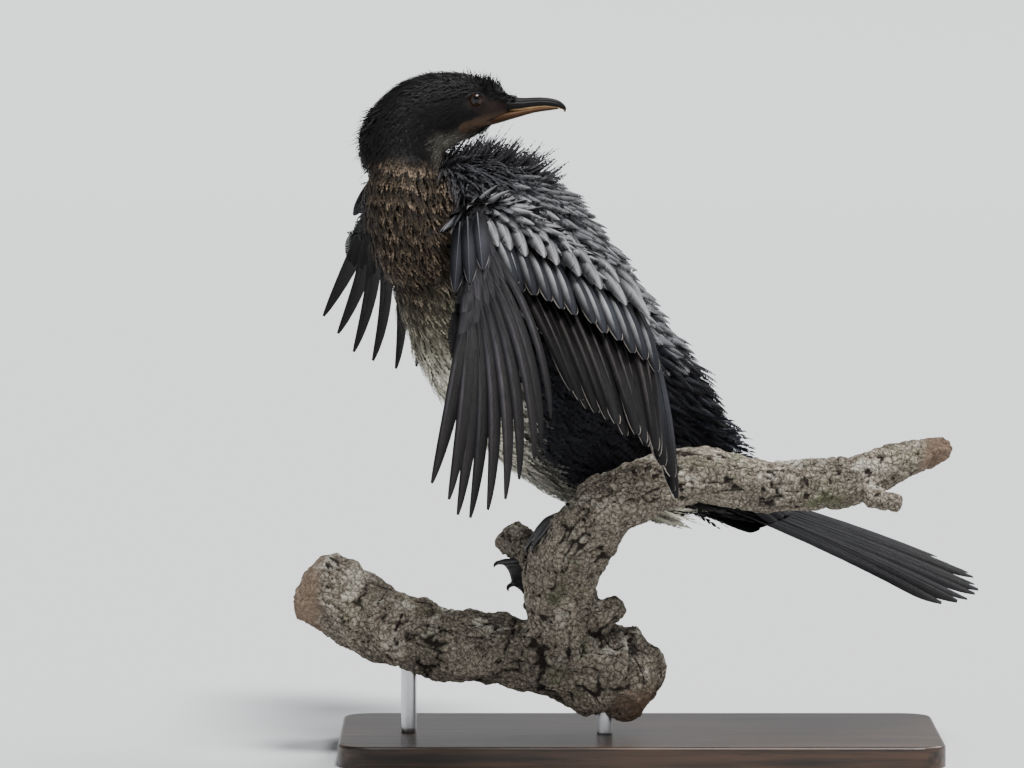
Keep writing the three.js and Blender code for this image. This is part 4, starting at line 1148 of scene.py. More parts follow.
leaf_piece("mantle_feathers", scatter(surface, 4.3, on_mantle), 13.5, 3.0, "quill_small", "coat_body",
           MANTLE_LEAF, 0.5, spread=0.2, strips=14, steps=2, outline=(0.35, 0.35, 0.8), advance=0.25,
           shaft=0.16, ragged=0.15, cup=1.3, fill=0.85, split=0.08)
leaf_piece("rump_feathers", scatter(surface, 4.4, on_rump), 15, 2.2, "quill_small", "coat_body",
           RUMP_LEAF, 0.65, strips=12, steps=2, outline=(0.35, 0.35, 0.8), advance=0.3, shaft=0.14,
           ragged=0.2, cup=0.8, fill=0.45, split=0.2)
for side in ("left", "right"):
    lie = WING_LIE if side == "left" else right_turn(WING_LIE)
    top = OUT_UP if side == "left" else right_turn(OUT_UP)
    at, out = scatter(surface, 4.0, lambda p: on_side(p, side))
    upper = (out @ unit(top) > 0.2) & (at @ BACK > -98)
    leaf_piece(f"lesser_coverts_{side}", (at[upper], out[upper]), 12.5, 2.9, "quill_small", "wing_feathers",
               SMALL_COVERT, 0.42, lie=lie, spread=0.2, flip=side == "right", strips=14, steps=2,
               outline=(0.35, 0.35, 0.8),
               advance=0.25, shaft=0.18, ragged=0.12, cup=1.3, fill=0.88, split=0.06)


# Hands
def on_bone(hand, t, aside, up):
    """A place beside the hand bone: t along it, aside towards the trailing edge, up off its upper side."""
    wrist, end, across, lift = hand
    return wrist * (1 - t) + end * t + across * aside + lift * up


def hand_frame(wrist, end, across, sign):
    """A hand's wrist, its bone's end, the direction across it and the one off its upper side."""
    wrist, end, across = (np.array(p, float) for p in (wrist, end, across))
    along = unit(end - wrist)
    across = unit(across - along * (across @ along))
    return wrist, end, across, unit(np.cross(along, across)) * sign


def hand_colours(points):
    """The small plumes on a hand, black at the root and sooty at the tip."""
    return np.tile(BLACK, (len(points), 1)), np.tile(SOOT, (len(points), 1))


# Each hand's frame, the line of its primaries' tips, the way they face, and whether it is the right one
HANDS = {
    "left": (hand_frame((-74, -86, 244), (-78.7, -128, 209.5), (0.9, 0.3, 0.2), 1),
             v3((-91.1, -205, 137.8), (-79.7, -213, 123), (-64, -203, 129), (-50.3, -180, 142.8),
                (-40.9, -148, 160)),
             v3((-0.25, -0.78, 0.55), (0.4, -0.75, 0.55)), False),
    "right": (hand_frame(right_place((-74, -86, 244)), (-128, 79, 232), (0.85, -0.5, 0), -1),
              v3((-149, 178, 185), (-131, 187, 167.6), (-108.5, 178, 161), (-88, 152, 168), (-73, 114, 188)),
              v3((-0.1, 0.5, 0.85), (0.5, 0.4, 0.75)), True),
}
for side, (hand, tips, faces, flip) in HANDS.items():
    if hand[3] @ faces[0] < 0:
        hand = (*hand[:3], -hand[3])
    roots = [on_bone(hand, t, 1, 0) for t in (0.98, 0.55, 0.12)]
    wrist_roots = [on_bone(hand, t, 2, 2.5) for t in (0.98, 0.55, 0.10)]
    t = np.linspace(0, 1, 5)
    share = np.linspace(0.30, 0.50, 5)[:, None]
    covert_ends = list(curve(wrist_roots, t) * (1 - share) + (curve(tips, t) + 2 * hand[3]) * share)
    second = [on_bone(hand, t, 1, 4) for t in (0.9, 0.5, 0.05)]
    second_ends = list(curve(second, t) * (1 - share * 0.55) + (curve(tips, t) + 4 * hand[3]) * share * 0.55)
    alula_roots = [on_bone(hand, *p) for p in ((0.08, -6, 2.5), (0.04, -3, 4), (0.0, 1, 5))]
    alula_tips = [on_bone(hand, *p) for p in ((0.92, -4.5, 3.5), (0.86, 2, 5.5), (0.7, 8, 5.5))]
    under = [on_bone(hand, t, 1, -2.5) for t in (0.95, 0.55, 0.1)]
    under_ends = list(curve(under, t) * (1 - share) + (curve(tips, t) - 2 * hand[3]) * share)

    def fan(name, rows, look, colours, roll, **shape):
        """Rows of the hand's feathers, with halves and roll the other way round on the right hand."""
        rows = [(c, (h[1], h[0]) if flip else h, *lines) for c, h, *lines in rows]
        quill_piece(name, rows, look, "flight_feathers", tints(colours), False, roll * (-1 if flip else 1),
                    flip, steps=3, **shape)

    fan(f"primaries_{side}", [(10, (2.3, 5.0), 9, roots, tips, faces)], "quill_gloss", [PRIMARY], 0.25,
        strips=30, outline=(0.18, 0.35, 0.6), advance=0.10, shaft=0.5, ragged=0.02, cup=0.6, fill=1.0,
        sweep=-0.09 if flip else 0.09)
    fan(f"primary_coverts_{side}", [(9, (2.2, 4.2), 4, wrist_roots, covert_ends, faces),
                                    (8, (2.2, 3.4), 3, second, second_ends, faces)],
        "quill_small", [PRIMARY_COVERT, PRIMARY_COVERT], 0.25, strips=20, outline=(0.25, 0.4, 0.65),
        advance=0.18, shaft=0.3, ragged=0.05, cup=0.5, fill=0.94)
    fan(f"alula_{side}", [(3, (3.2, 4.4), 2, alula_roots, alula_tips, faces[:1])], "quill_satin", [ALULA],
        0.2, strips=22, outline=(0.2, 0.5, 0.7), advance=0.15, shaft=0.42, ragged=0.03, cup=0.6, fill=0.97)
    fan(f"hand_under_coverts_{side}", [(9, (3.2, 4.2), -2, under, under_ends, [-f for f in faces])],
        "quill_satin", [UNDER_COVERT], 0.0, strips=18, outline=(0.25, 0.5, 0.65), advance=0.2, shaft=0.25,
        ragged=0.06, cup=0.5, fill=0.92)
    bone = [(*on_bone(hand, t, a, 0), w, w * 0.8)
            for t, a, w in ((-0.12, 3, 5.5), (0.2, 0, 5.0), (0.6, 0, 3.6), (1.02, 0.3, 1.6))]
    flesh = tube(bone, hand[2], 24, 20)
    piece = mesh_piece(f"hand_{side}", *flesh, colours={"Coat": np.tile(np.array(SOOT), (len(flesh[0]), 1))})
    place_piece(piece, "skin", "flight_feathers", [f"wing_{side}_hand"])
    at, out = scatter(arrays(piece), 1.7, lambda p: np.ones(len(p)))
    lie = unit(hand[1] - hand[0])
    coat_piece(f"coat_hand_{side}", (at, out), 6.5, 1.0, "coat_soft", "flight_feathers", lean=0.3,
               spread=0.3, lie=lie, colours=hand_colours, strips=4, steps=1, fill=0.4)


# Tail
TAIL_ROOT = np.array([25, 9.5, 121.5])
TAIL_AXIS = unit(np.array([125.0, 30, -46]))
TAIL_TURN = math.radians(13)
TAIL_UP = turned(-unit(np.cross(TAIL_AXIS, LEFT)), TAIL_AXIS, TAIL_TURN)
TAIL_ACROSS = np.cross(TAIL_UP, TAIL_AXIS)
TAIL_SPREAD = math.radians(36)


def tail_row(count, reach, half, bow, lift, wide):
    """Tail feathers fanned about the middle one: those further out are shorter, lean aside and lie lower."""
    share = np.linspace(-1, 1, count)
    roots = TAIL_ROOT + TAIL_ACROSS * (share * wide / 2)[:, None] + TAIL_UP * (lift - 1.2 * share**2)[:, None]
    angle = share * TAIL_SPREAD / 2
    ahead = TAIL_AXIS * np.cos(angle)[:, None] + TAIL_ACROSS * np.sin(angle)[:, None]
    length = reach * (1 - 0.14 * share**2)
    ends = roots + ahead * length[:, None] - TAIL_UP * (5 * share**2)[:, None] * reach / 143
    faces = TAIL_UP + TAIL_ACROSS * (share * 0.35)[:, None]
    return count, half, bow, list(roots), list(ends), list(faces)


tail_rows = [tail_row(12, 143, (4.2, 4.2), 2.5, 0, 15), tail_row(11, 46, (4.2, 4.2), 3, 3.0, 16),
             tail_row(9, 30, (4.0, 4.0), 3, 5.5, 15), tail_row(9, 40, (4.0, 4.0), -2, -4.0, 13)]
TAIL_COVERT = (BLACK,) * len(TINT_KEYS)
quill_piece("tail_feathers", tail_rows, "quill_gloss", "flight_feathers",
            tints([TAIL_FEATHER, TAIL_COVERT, TAIL_COVERT, TAIL_COVERT]), False, 0.0, strips=34, steps=3,
            outline=(0.12, 0.86, 0.6), advance=0.08, shaft=0.6, ragged=0.02, cup=0.5, fill=1.0,
            nodes=["tail"])


# Tufts that stand out of the coat
def tuft_piece(name, groups, look, slot, **shape):
    """Long narrow plumes in bunches. A group gives count, place, reach, scatter of places, scatter of tips,
    half-width and root and tip colours."""
    roots, ends, halves, lows, highs = [], [], [], [], []
    for count, place, reach, jitter, fray, half, low, high in groups:
        at = np.array(place) + rng.normal(0, 1, (count, 3)) * jitter
        roots.append(at)
        ends.append(at + np.array(reach) * rng.uniform(0.6, 1.1, (count, 1))
                    + rng.normal(0, 1, (count, 3)) * fray)
        halves.append(np.full(count, half))
        lows.append(np.tile(low, (count, 1)))
        highs.append(np.tile(high, (count, 1)))
    root, end, half = np.vstack(roots), np.vstack(ends), np.concatenate(halves)
    low, high = np.vstack(lows), np.vstack(highs)
    length = np.linalg.norm(end - root, axis=1)
    along = unit(end - root)
    face = unit(np.cross(along, rng.normal(0, 1, (len(root), 3))))
    built = plumes(root, along, face, length, (half, half), lift=0.12, droop=0.12, **shape)
    return soft_piece(name, built, low, high, spine_place(root), look, slot)


HUMP_GREY = ((0.005, 0.005, 0.006), (0.060, 0.058, 0.062))
crest = [(90, (-92 + 27 * t, -24, 303.0 - 1.6 * t - 4.0 * t**4), (-4.5 + 3.6 * t, 0, 2.6 + 4.0 * t**1.5),
          (1.2, 4.0, 1.0), (1.2, 1.4, 0.9), 0.42, *HEAD_BLACK) for t in np.linspace(0, 1, 13)]
nape = [(45, (-116.5 - 3.5 * math.sin(math.pi * t), -28, 290 - 19 * t), (-6.5, 0, -3.5 - 4 * t),
         (1.0, 4.5, 1.2), (1.3, 2.2, 1.6), 0.42, *HEAD_BLACK) for t in np.linspace(0, 1, 9)]
hump = [(100, (-94 + 46 * t, -25, 261 + 5 * math.sin(math.pi * t) - 4 * t),
         (11, 0, 7 + 6 * math.sin(math.pi * t**0.6)), (2.5, 3.0 + 4.0 * t, 2.0), (2.0, 2.5, 2.0), 0.7,
         *HUMP_GREY) for t in np.linspace(0, 1, 10)]
forehead = [(60, (-65 + 9 * t, -24, 297.4 - 2.6 * t), (-2.6, 0, 2.8 - 2.0 * t), (0.8, 2.4 - 0.8 * t, 0.6),
             (0.5, 0.9, 0.4), 0.42, *HEAD_BLACK) for t in np.linspace(0, 1, 6)]
tuft_piece("mantle_hump", hump, "coat_soft", "coat_body", strips=7, steps=1, fill=0.22,
           outline=(0.3, 0.3, 0.9))
tuft_piece("crest", crest + nape + forehead, "coat_sleek", "coat_black", strips=4, steps=1, fill=0.5,
           outline=(0.2, 0.2, 0.9))


def rump_bunches(count, middle, spread, reach, low, high, half=1.3):
    """Bunches side by side across the rump, in LEFT's direction, each fanned a little."""
    share = np.linspace(-1, 1, count)
    return [(26, np.array(middle) + LEFT * s * spread, np.array(reach) + LEFT * s * 5, (2.5, 2.5, 2.0),
             (2.5, 2.5, 2.2), half, low, high) for s in share]


RUMP_BLACK = ((0.005, 0.005, 0.007), (0.014, 0.016, 0.023))
rump = (rump_bunches(5, (10, 3, 157), 14, (19, 5, -7), *RUMP_BLACK)
        + rump_bunches(5, (22, 7, 146), 12, (20, 6, -7), *RUMP_BLACK)
        + rump_bunches(4, (31, 10, 133), 8, (20, 6, -7), *RUMP_BLACK)
        + rump_bunches(4, (10, 5, 117), 12, (24, 6, -7), *HEAD_BLACK)
        + rump_bunches(4, (20, 8, 113), 8, (26, 7, -8), *HEAD_BLACK))
vent = rump_bunches(3, (-3, 1, 113), 9, (24, 6, -7), *BELLY_WHITE, half=1.2)
tuft_piece("rump_tufts", rump, "coat_soft", "coat_body", strips=7, steps=1, fill=0.45,
           outline=(0.25, 0.3, 0.8))
tuft_piece("vent_tufts", vent, "coat_soft", "coat_body", strips=7, steps=1, fill=0.4,
           outline=(0.25, 0.3, 0.8))


# Bill
def bill_half(name, stations, colour, nodes, slot, ridge=None, steps=110, sides=72):
    """Half of the bill: a smooth tube along its stations, with colour(t, a, places). ridge(t, a) multiplies
    its radius."""
    verts, faces = tube(stations, HEAD_LEFT, steps, sides, shrink=0.25, lump=ridge)
    t = np.concatenate([np.zeros(2 * sides), np.repeat(np.linspace(0, 1, steps), sides), np.ones(2 * sides),
                        [0, 1]])
    a = np.concatenate([np.tile(np.linspace(0, 2 * np.pi, sides, endpoint=False), steps + 4), [0, 0]])
    piece = mesh_piece(name, verts, faces, colours={"Coat": colour(t, a, verts)})
    return place_piece(piece, "horn", slot, nodes)


BILL_UPPER = [(-70, -24, 292.6, 5.2, 4.2), (-62, -24, 292.8, 4.6, 3.9), (-53, -23.4, 293.0, 3.3, 3.0),
              (-44.5, -22.8, 293.7, 2.5, 2.5), (-38, -22.4, 293.0, 2, 2.2), (-34.6, -22.2, 291.4, 1.4, 1.3),
              (-34, -22.2, 289.6, 0.6, 0.6)]
BILL_LOWER = [(-74, -24, 285.6, 5.4, 3.7), (-66, -24, 286.6, 4.6, 2.9), (-57, -23.6, 288.4, 3.4, 2.1),
              (-48, -23, 290.3, 2.5, 1.5), (-41, -22.6, 291.1, 1.9, 1.2), (-37.2, -22.4, 291.2, 1.3, 0.8)]
# Pale cream of the cutting edge, brightened into a painted highlight along it
BILL_CREAM_AND_HIGHLIGHT = (0.56, 0.38, 0.19)
BILL_ORANGE = (0.062, 0.028, 0.011)
BILL_BLACK = (0.006, 0.005, 0.005)
BILL_HOOK = (0.20, 0.13, 0.08)
BILL_BASE = (0.05, 0.025, 0.015)
BILL_DUSKY = (0.040, 0.020, 0.010)
BILL_AMBER = (0.16, 0.085, 0.036)
BILL_ROOT = (0.085, 0.048, 0.026)


def height_round(a):
    """-1 on a bill tube's underside and 1 on its upper side."""
    return np.sin(a)


def upper_shape(t, a):
    """Full sides with a groove from the nostril to the hook, and a keel along the top."""
    h = height_round(a)
    groove = np.exp(-((h - 0.42) / 0.13) ** 2) * smoothstep(0.12, 0.25, t) * smoothstep(0.86, 0.75, t)
    plates = 0.004 * np.sin(60 * t + 3 * np.sin(5 * a)) * smoothstep(0.15, 0.3, t)
    return 1 - 0.11 * groove + 0.05 * np.exp(-((h - 1) / 0.12) ** 2) + plates


def upper_colour(t, a, places):
    """Black on top, pale cream with a painted highlight along the cutting edge, brown at the base and horn at
    the hook.
    """
    h = height_round(a) + 0.10 * (noise(places, 3, 5) - 0.5)
    pale_edge_shine = smoothstep(-0.58, -0.70, h) * smoothstep(0.20, 0.34, t)
    hook = smoothstep(0.86, 0.95, t)
    base = smoothstep(0.16, 0.02, t)
    rgb = mix(BILL_BLACK, BILL_CREAM_AND_HIGHLIGHT, pale_edge_shine)
    rgb = mix(rgb, BILL_HOOK, hook * 0.8)
    return mix(rgb, BILL_BASE, base * 0.7)


def lower_colour(t, a, places):
    """Orange-brown along the side, dusky below, lighter along the cutting edge and brown near the throat."""
    h = height_round(a) + 0.2 * (noise(places, 2.5, 8) - 0.5)
    rgb = mix(BILL_ORANGE, BILL_DUSKY, smoothstep(-0.2, -0.8, h))
    rgb = mix(rgb, BILL_AMBER, smoothstep(0.25, 0.7, h))
    return mix(rgb, BILL_ROOT, smoothstep(0.25, 0.0, t))


bill_half("bill_top", BILL_UPPER, upper_colour, ["bill_upper"], "bill_dark", upper_shape)
bill_half("bill_under", BILL_LOWER, lower_colour, ["bill_lower"], "bill_pale")


# Eyes
PUPIL_BLACK = (0.0025, 0.0025, 0.003)
IRIS_BROWN = (0.026, 0.012, 0.006)
EYE_RIM = (0.006, 0.004, 0.004)


def eye_piece(side, centre, sign):
    """A ball with a pupil, a brown iris round it and a dark rim, told apart by the angle from the way it
    looks."""
    look = unit(HEAD_LEFT * sign + np.array([-0.03, 0, 0.02]))
    n, m = 48, 64
    polar = np.linspace(0.0001, np.pi - 0.0001, n)
    turn = np.linspace(0, 2 * np.pi, m, endpoint=False)
    front = unit(np.cross(look, UP))
    above = np.cross(front, look)
    ring = front * np.cos(turn)[:, None] + above * np.sin(turn)[:, None]
    verts = np.array(centre) + EYE_RADIUS * (look * np.cos(polar)[:, None, None]
                                             + ring * np.sin(polar)[:, None, None])
    angle = np.repeat(polar, m)
    brown = np.array(IRIS_BROWN) * (0.6 + 0.8 * rng.random((n * m, 1)))
    rgb = mix(PUPIL_BLACK, brown, smoothstep(0.50, 0.54, angle))
    rgb = mix(rgb, EYE_RIM, smoothstep(0.92, 1.02, angle))
    piece = mesh_piece(f"eyeball_{side}", verts.reshape(-1, 3), [ring_faces(n, m)], colours={"Coat": rgb})
    return place_piece(piece, "eye", "eye", [f"eye_{side}"])


for side, sign in (("left", 1), ("right", -1)):
    eye_piece(side, EYES[side], sign)


# Feet
TOE_STEPS, WEB_ROWS = 30, 22
WEB_HALF_THICK = 0.55
CLAW_SIZES = ((1.05, 1.0), (0.95, 0.95), (0.65, 0.65), (0.2, 0.2))
FOOT_BLACK = (0.022, 0.020, 0.021)


def web(near, far):
    """A thin sheet between two toes' lines, lightly folded, whose outer edge curves in."""
    sheet = []
    for t in np.linspace(0, 1, WEB_ROWS):
        reach = np.linspace(0.05, 0.98 - 0.07 * math.sin(math.pi * t), TOE_STEPS)
        sheet.append(curve(near, reach) * (1 - t) + curve(far, reach) * t)
    sheet = np.array(sheet)
    normal = unit(np.cross(np.gradient(sheet, axis=0), np.gradient(sheet, axis=1)))
    fold = 0.25 * np.sin(np.linspace(0, 4 * np.pi, WEB_ROWS))[:, None, None] * normal
    top, under = sheet + fold + normal * WEB_HALF_THICK, sheet + fold - normal * WEB_HALF_THICK
    grid = ring_faces(WEB_ROWS, TOE_STEPS, closed=False)
    n = WEB_ROWS * TOE_STEPS
    edge = np.concatenate([np.arange(TOE_STEPS), np.arange(TOE_STEPS - 1, n, TOE_STEPS),
                           np.arange(n - 1, n - TOE_STEPS - 1, -1), np.arange(n - TOE_STEPS, -1, -TOE_STEPS)])
    edge = edge[np.concatenate([[True], np.diff(edge) != 0])]
    rim = np.stack([edge[:-1], edge[1:], edge[1:] + n, edge[:-1] + n], -1)
    return np.vstack([top.reshape(-1, 3), under.reshape(-1, 3)]), [grid, grid[:, ::-1] + n, rim]


def foot(side, ankle, knuckles, tips, shin, grip):
    """A shin, four jointed toes with claws that curve towards grip, and webs between them."""
    parts, claws = [], []
    ankle = np.array(ankle, float)
    toes = []
    for knuckle, tip in zip(v3(*knuckles), v3(*tips)):
        s = np.linspace(0, 1, TOE_STEPS)
        line = curve([ankle, knuckle, tip], s)
        toes.append(line)
        radius = 1.95 - 0.75 * s + 0.16 * np.sin(np.linspace(0, 5 * np.pi, TOE_STEPS)) ** 2
        stations = np.hstack([line, radius[:, None], radius[:, None] * 0.92])
        parts.append(tube(stations, unit(np.cross(tip - ankle, BACK) + 0.01), 60, 22))
        ahead = unit(tip - knuckle)
        down = unit(grip - ahead * (ahead @ grip))
        nail = [tip - ahead * 1.4, tip + ahead * 1.2 + down * 0.2, tip + ahead * 2.5 + down * 1.2,
                tip + ahead * 3.0 + down * 2.6]
        nail = [(*p, *size) for p, size in zip(nail, CLAW_SIZES)]
        claws.append(tube(nail, unit(np.cross(ahead, down)), 26, 16))
    parts += [web(near, far) for near, far in zip(toes, toes[1:])]
    parts.append(tube(shin, LEG_SIDE, 40, 26))
    skin_of_foot = fused(f"foot_{side}_skin", parts, voxel=0.45, soften=2)
    co = arrays(skin_of_foot)[0]
    scute = noise(co, 1.3, 4)
    rgb = np.array(FOOT_BLACK) * (0.55 + 0.9 * scute)[:, None]
    add_colours(skin_of_foot.data, "Coat", rgb)
    place_piece(skin_of_foot, "foot", "foot_skin", [f"foot_{side}"])
    place_piece(mesh_piece(f"claws_{side}", *merged(claws)), "claw", "foot_skin")


foot("left", (-30, -22.5, 110.5), ((-40, -19, 107), (-42, -25, 107), (-40, -32, 107), (-30, -36, 113)),
     ((-48, -15, 96), (-50.5, -24, 96), (-48, -34, 97), (-33, -47, 116)),
     [(-21, -20, 119, 4.2, 4.2), (-24.5, -20.7, 114, 3.3, 3.3), (-30, -22.3, 110.4, 2.5, 2.5)],
     np.array([0.6, 0.2, -0.75]))
foot("right", (-38, -4.5, 87.5), ((-31, -7, 79), (-44, -8, 75), (-51, -9, 80), (-52, -10, 88)),
     ((-30, -8, 68), (-51, -12, 69), (-58, -12, 77), (-63, -11, 87)),
     [(-25, 10, 103, 4.4, 4.4), (-29, 5.5, 97, 3.4, 3.4), (-37.5, -3.8, 88, 2.6, 2.6)],
     np.array([0.9, -0.3, -0.3]))


# Branch
MAIN_LIMB = [(-146, -4, 76, 17.5, 18), (-122.8, -8, 62.9, 17, 17.5), (-98.5, -12, 52.9, 16.5, 17),
             (-74.7, -14, 49, 16, 16.5), (-50.4, -15, 46.4, 17, 17), (-31.6, -16, 42.4, 19, 19.5),
             (-13.6, -16, 39, 21, 22), (0, -16, 39.8, 18, 19), (7, -16, 41, 9, 11)]
RISING_LIMB = [(-31, -16, 50, 17, 17), (-36, -22, 71.1, 16.5, 17), (-33.5, -30, 88.3, 16, 17),
               (-25.1, -38, 102.8, 15.5, 16), (-13.1, -43, 115.3, 14.5, 15), (3.7, -45, 124.9, 13.5, 13.5),
               (25.9, -45, 128.6, 13, 13), (52.5, -44, 124.9, 12, 12), (79.3, -42, 124.3, 11.5, 12),
               (97.2, -40, 127.7, 10.5, 11), (115, -38, 134.2, 8.5, 9), (130.7, -36, 139.4, 6.5, 7),
               (137, -35, 140.5, 4, 4.5)]
# Each stub's line of three places, and its thickness at both ends
STUBS = [((-41, -18, 86), (-50, -8, 92), (-59, 0, 98), 9, 8.2),
         ((95, -42, 126), (104, -48, 119), (114, -52, 117.3), 6, 4),
         ((-20, -28, 64), (-14, -30, 67), (-9, -31, 70), 8, 5),
         ((-10, -16, 30), (-6, -18, 25), (-3, -20, 21), 12, 9)]
ACROSS = np.array([0.0, 1.0, 0.0])


def bark_lump(seed):
    """1 plus two waves round and along the limb, as wide as 6 percent of its size."""
    return lambda t, a: 1 + 0.06 * (np.sin(3 * a + 37 * t + seed) + 0.6 * np.sin(5 * a - 61 * t + 2 * seed))


limbs = [tube(MAIN_LIMB, ACROSS, 200, 80, lump=bark_lump(1)),
         tube(RISING_LIMB, ACROSS, 240, 80, lump=bark_lump(4))]
for i, (first, middle, last, thick, thin) in enumerate(STUBS):
    stations = [(*first, thick, thick), (*middle, (thick + thin) / 2, (thick + thin) / 2),
                (*last, thin, thin)]
    limbs.append(tube(stations, ACROSS, 50, 50, lump=bark_lump(7 + i)))
branch = fused("branch", limbs, voxel=0.82, soften=1)
co, normal, _, _ = arrays(branch)


def ridged(points, size, seed):
    """Cracks: 1 minus the distance of noise from its middle, so thin lines rise where it crosses a half."""
    return 1 - np.abs(2 * noise(points, size, seed) - 1)


def limb_place(points):
    """Distance along the nearer limb in millimetres, and the angle round it, for cracks that run with the
    grain."""
    best = np.full(len(points), 1e9)
    run, round_it = np.zeros(len(points)), np.zeros(len(points))
    for stations in (MAIN_LIMB, RISING_LIMB):
        line = curve(np.array(stations)[:, :3], np.linspace(0, 1, 160))
        step = np.concatenate([[0], np.cumsum(np.linalg.norm(np.diff(line, axis=0), axis=1))])
        ahead = unit(np.gradient(line, axis=0))
        for rows in blocks(points):
            p = points[rows]
            gap = ((p[:, None] - line[None]) ** 2).sum(-1)
            near = gap.argmin(1)
            close = gap.min(1)
            away = p - line[near]
            over = np.cross(ahead[near], ACROSS)
            angle = np.arctan2((away * over).sum(1), away @ ACROSS)
            mine = close < best[rows]
            run[rows][mine] = step[near][mine]
            round_it[rows][mine] = angle[mine]
            best[rows][mine] = close[mine]
    return run, round_it


run, around = limb_place(co)


def bark_place(stretch, radius, wander, size, seed):
    """The branch's vertices unrolled: along the limb times stretch, and round a circle of that radius, moved
    by noise of that size, up to half of wander."""
    rolled = np.stack([run * stretch, radius * np.cos(around), radius * np.sin(around)], -1)
    return rolled + wander * (noise(co, size, seed)[:, None] - 0.5)


# Cracks along the grain, cracks across it and small plates, then raw wood at three broken places
crack = ridged(bark_place(0.35, 15, 2.5, 6, 2), 4.6, 21) ** 18
cross = ridged(bark_place(1, 5, 3, 5, 9), 7.5, 31) ** 20
plates = ridged(bark_place(0.7, 15, 2, 3, 41), 2.8, 43) ** 5
crack = np.clip(crack + 0.8 * cross + 0.6 * plates, 0, 1)
broken = smoothstep(16, 6, np.linalg.norm(co - np.array([-2, -24, 24]), axis=1)
                    + 8 * (noise(co, 7, 12) - 0.5))
broken = np.maximum(broken, smoothstep(122, 131, co[:, 0] + 7 * (noise(co, 6, 14) - 0.5)))
broken = np.maximum(broken, smoothstep(-141, -147, co[:, 0] + 5 * (noise(co, 6, 15) - 0.5)) * 0.8)
depth = -1.3 * crack * (1 - broken) + 1.5 * (noise(co, 4, 6) - 0.5) + 0.8 * (noise(co, 1.7, 7) - 0.5) - 0.4
depth -= broken * 1.6 * noise(np.stack([run * 0.15, co[:, 1], co[:, 2]], -1), 1.4, 17)
co = co + normal * depth[:, None]
branch.data.vertices.foreach_set("co", (co * MM).astype(np.float32).ravel())
add_values(branch.data, "Crack", crack * (1 - broken))
add_values(branch.data, "Broken", broken)
branch.data.update()
place_piece(branch, "bark", "bark", ["perch_branch"])


# Stand
BASE_SIZE = np.array([270.0, 130.0, 10.0])
BASE_CORNER = 14.0
BASE_BEVEL = 1.5
CORNER_STEPS = 12
OUTLINE = 4 * CORNER_STEPS
ROD_RADIUS = 3.5
ROD_FOOT = 9.8


def base_outline(inset):
    """A rectangle with round corners, drawn in by inset."""
    half = BASE_SIZE[:2] / 2 - inset
    radius = BASE_CORNER - inset
    a = np.linspace(0, np.pi / 2, CORNER_STEPS)
    corners = []
    for i, (sx, sy) in enumerate(((1, 1), (-1, 1), (-1, -1), (1, -1))):
        turn = a + i * np.pi / 2
        centre = (half - radius) * np.array([sx, sy])
        corners.append(centre + radius * np.stack([np.cos(turn), np.sin(turn)], -1))
    return np.vstack(corners)


# Inset and height of each level: a small bevel below, then the side and the round edge above
levels = [(0.4, 0.0), (0.0, 0.4)]
for b in np.linspace(0, math.pi / 2, 7):
    levels.append((BASE_BEVEL * (1 - math.cos(b)), BASE_SIZE[2] - BASE_BEVEL * (1 - math.sin(b))))
rings = [np.hstack([base_outline(i), np.full((OUTLINE, 1), z)]) for i, z in levels]
count = len(rings) * OUTLINE
under, over = np.arange(OUTLINE - 1, -1, -1)[None], np.arange(count - OUTLINE, count)[None]
base = mesh_piece("base", np.vstack(rings), [ring_faces(len(rings), OUTLINE), under, over], smooth=False)
place_piece(base, "base", "base_wood", ["stand_base"])
for name, x, y, top in (("stand_rod_knob", -16, -16, 24), ("stand_rod_limb", -104, -11, 42)):
    stations = [(x, y, z, ROD_RADIUS, ROD_RADIUS) for z in (ROD_FOOT, (ROD_FOOT + top) / 2, top)]
    rod = tube(stations, ACROSS, 12, 40)
    place_piece(mesh_piece(name.replace("stand_", "steel_"), *rod), "rod", "rod_steel", [name])


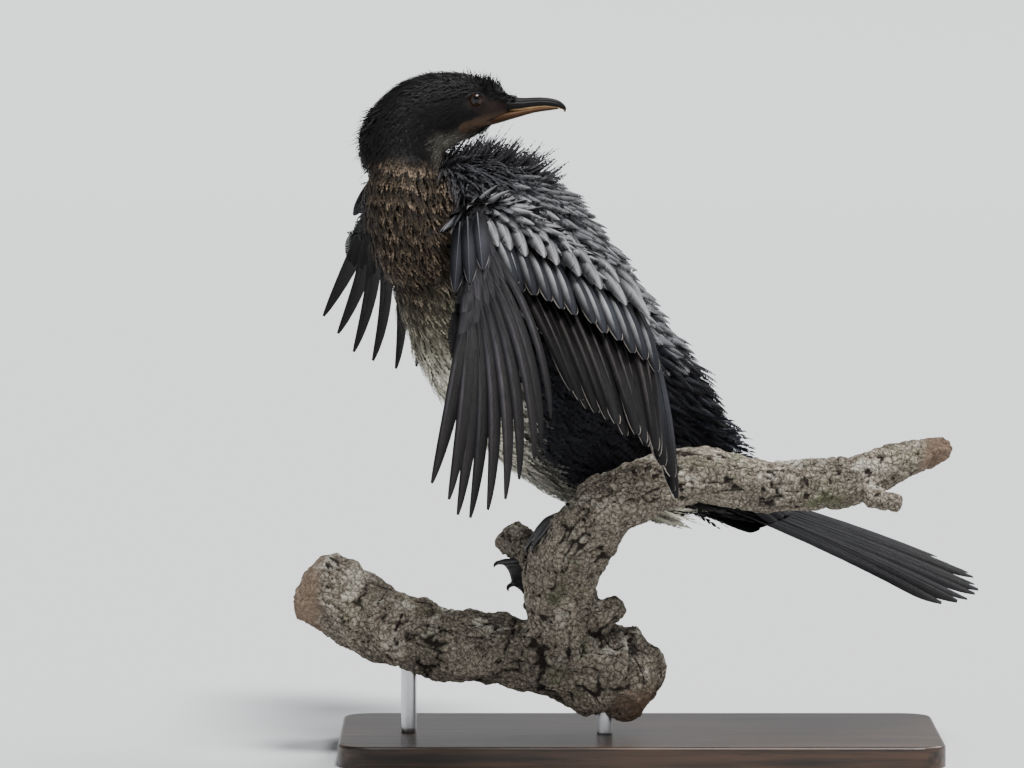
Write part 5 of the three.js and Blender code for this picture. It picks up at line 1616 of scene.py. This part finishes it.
# Room, lights and camera
# A round floor, flat to FLAT_RADIUS in metres, whose edge rises along an arc
FLAT_RADIUS = 6.5
RISE_RADIUS, RISE_ANGLE = 4.0, math.radians(50)
FLOOR_SIDES = 160
bend = np.linspace(0, RISE_ANGLE, 40)
reach = np.concatenate([[0.01], FLAT_RADIUS + RISE_RADIUS * np.sin(bend)])
height = np.concatenate([[0.0], RISE_RADIUS * (1 - np.cos(bend))])
turn = np.linspace(0, 2 * np.pi, FLOOR_SIDES, endpoint=False)
rings = np.stack([reach[:, None] * np.cos(turn), reach[:, None] * np.sin(turn),
                  np.repeat(height[:, None], FLOOR_SIDES, 1)], -1).reshape(-1, 3)
floor = mesh_piece("floor", rings / MM, [ring_faces(len(reach), FLOOR_SIDES)])
floor.data.shade_smooth()
floor_look, _, floor_shader = new_material("floor_pale")
set_surface(floor_shader, Base_Color=rgba((0.62, 0.63, 0.64)), Roughness=0.9)
floor.data.materials.append(floor_look)

CAMERA_AT = (-0.0576, -2.9927, 0.3758)
CAMERA_TO = (-0.0576, 0.0, 0.1665)
LENS = 234.4


def aimed(piece, at, to):
    """Stands a lamp or camera at one place and points it at another."""
    piece.location = at
    piece.rotation_euler = (Vector(to) - Vector(at)).to_track_quat("-Z", "Y").to_euler()
    bpy.context.scene.collection.objects.link(piece)
    return piece


camera = bpy.data.cameras.new("camera")
camera.lens = LENS
camera.sensor_width = 36.0
camera.clip_end = 50.0
bpy.context.scene.camera = aimed(bpy.data.objects.new("camera", camera), CAMERA_AT, CAMERA_TO)
# Broad far lamps: name, where from, how wide in degrees, and strength
LAMPS = [("key", (0.5, -0.75, 2.13), 21, 5.6), ("fill", (-2.2, -1.7, 0.83), 31, 0.34),
         ("rim", (1.2, 1.3, 1.53), 29, 2.3)]
for name, at, width, strength in LAMPS:
    lamp = bpy.data.lights.new(name, "SUN")
    lamp.angle = math.radians(width)
    lamp.energy = strength
    aimed(bpy.data.objects.new(name, lamp), at, (0, 0, 0))
world = bpy.data.worlds.new("world")
world.use_nodes = True
set_surface(world.node_tree.nodes["Background"], Color=rgba((0.92, 0.96, 1.0)), Strength=0.24)
bpy.context.scene.world = world
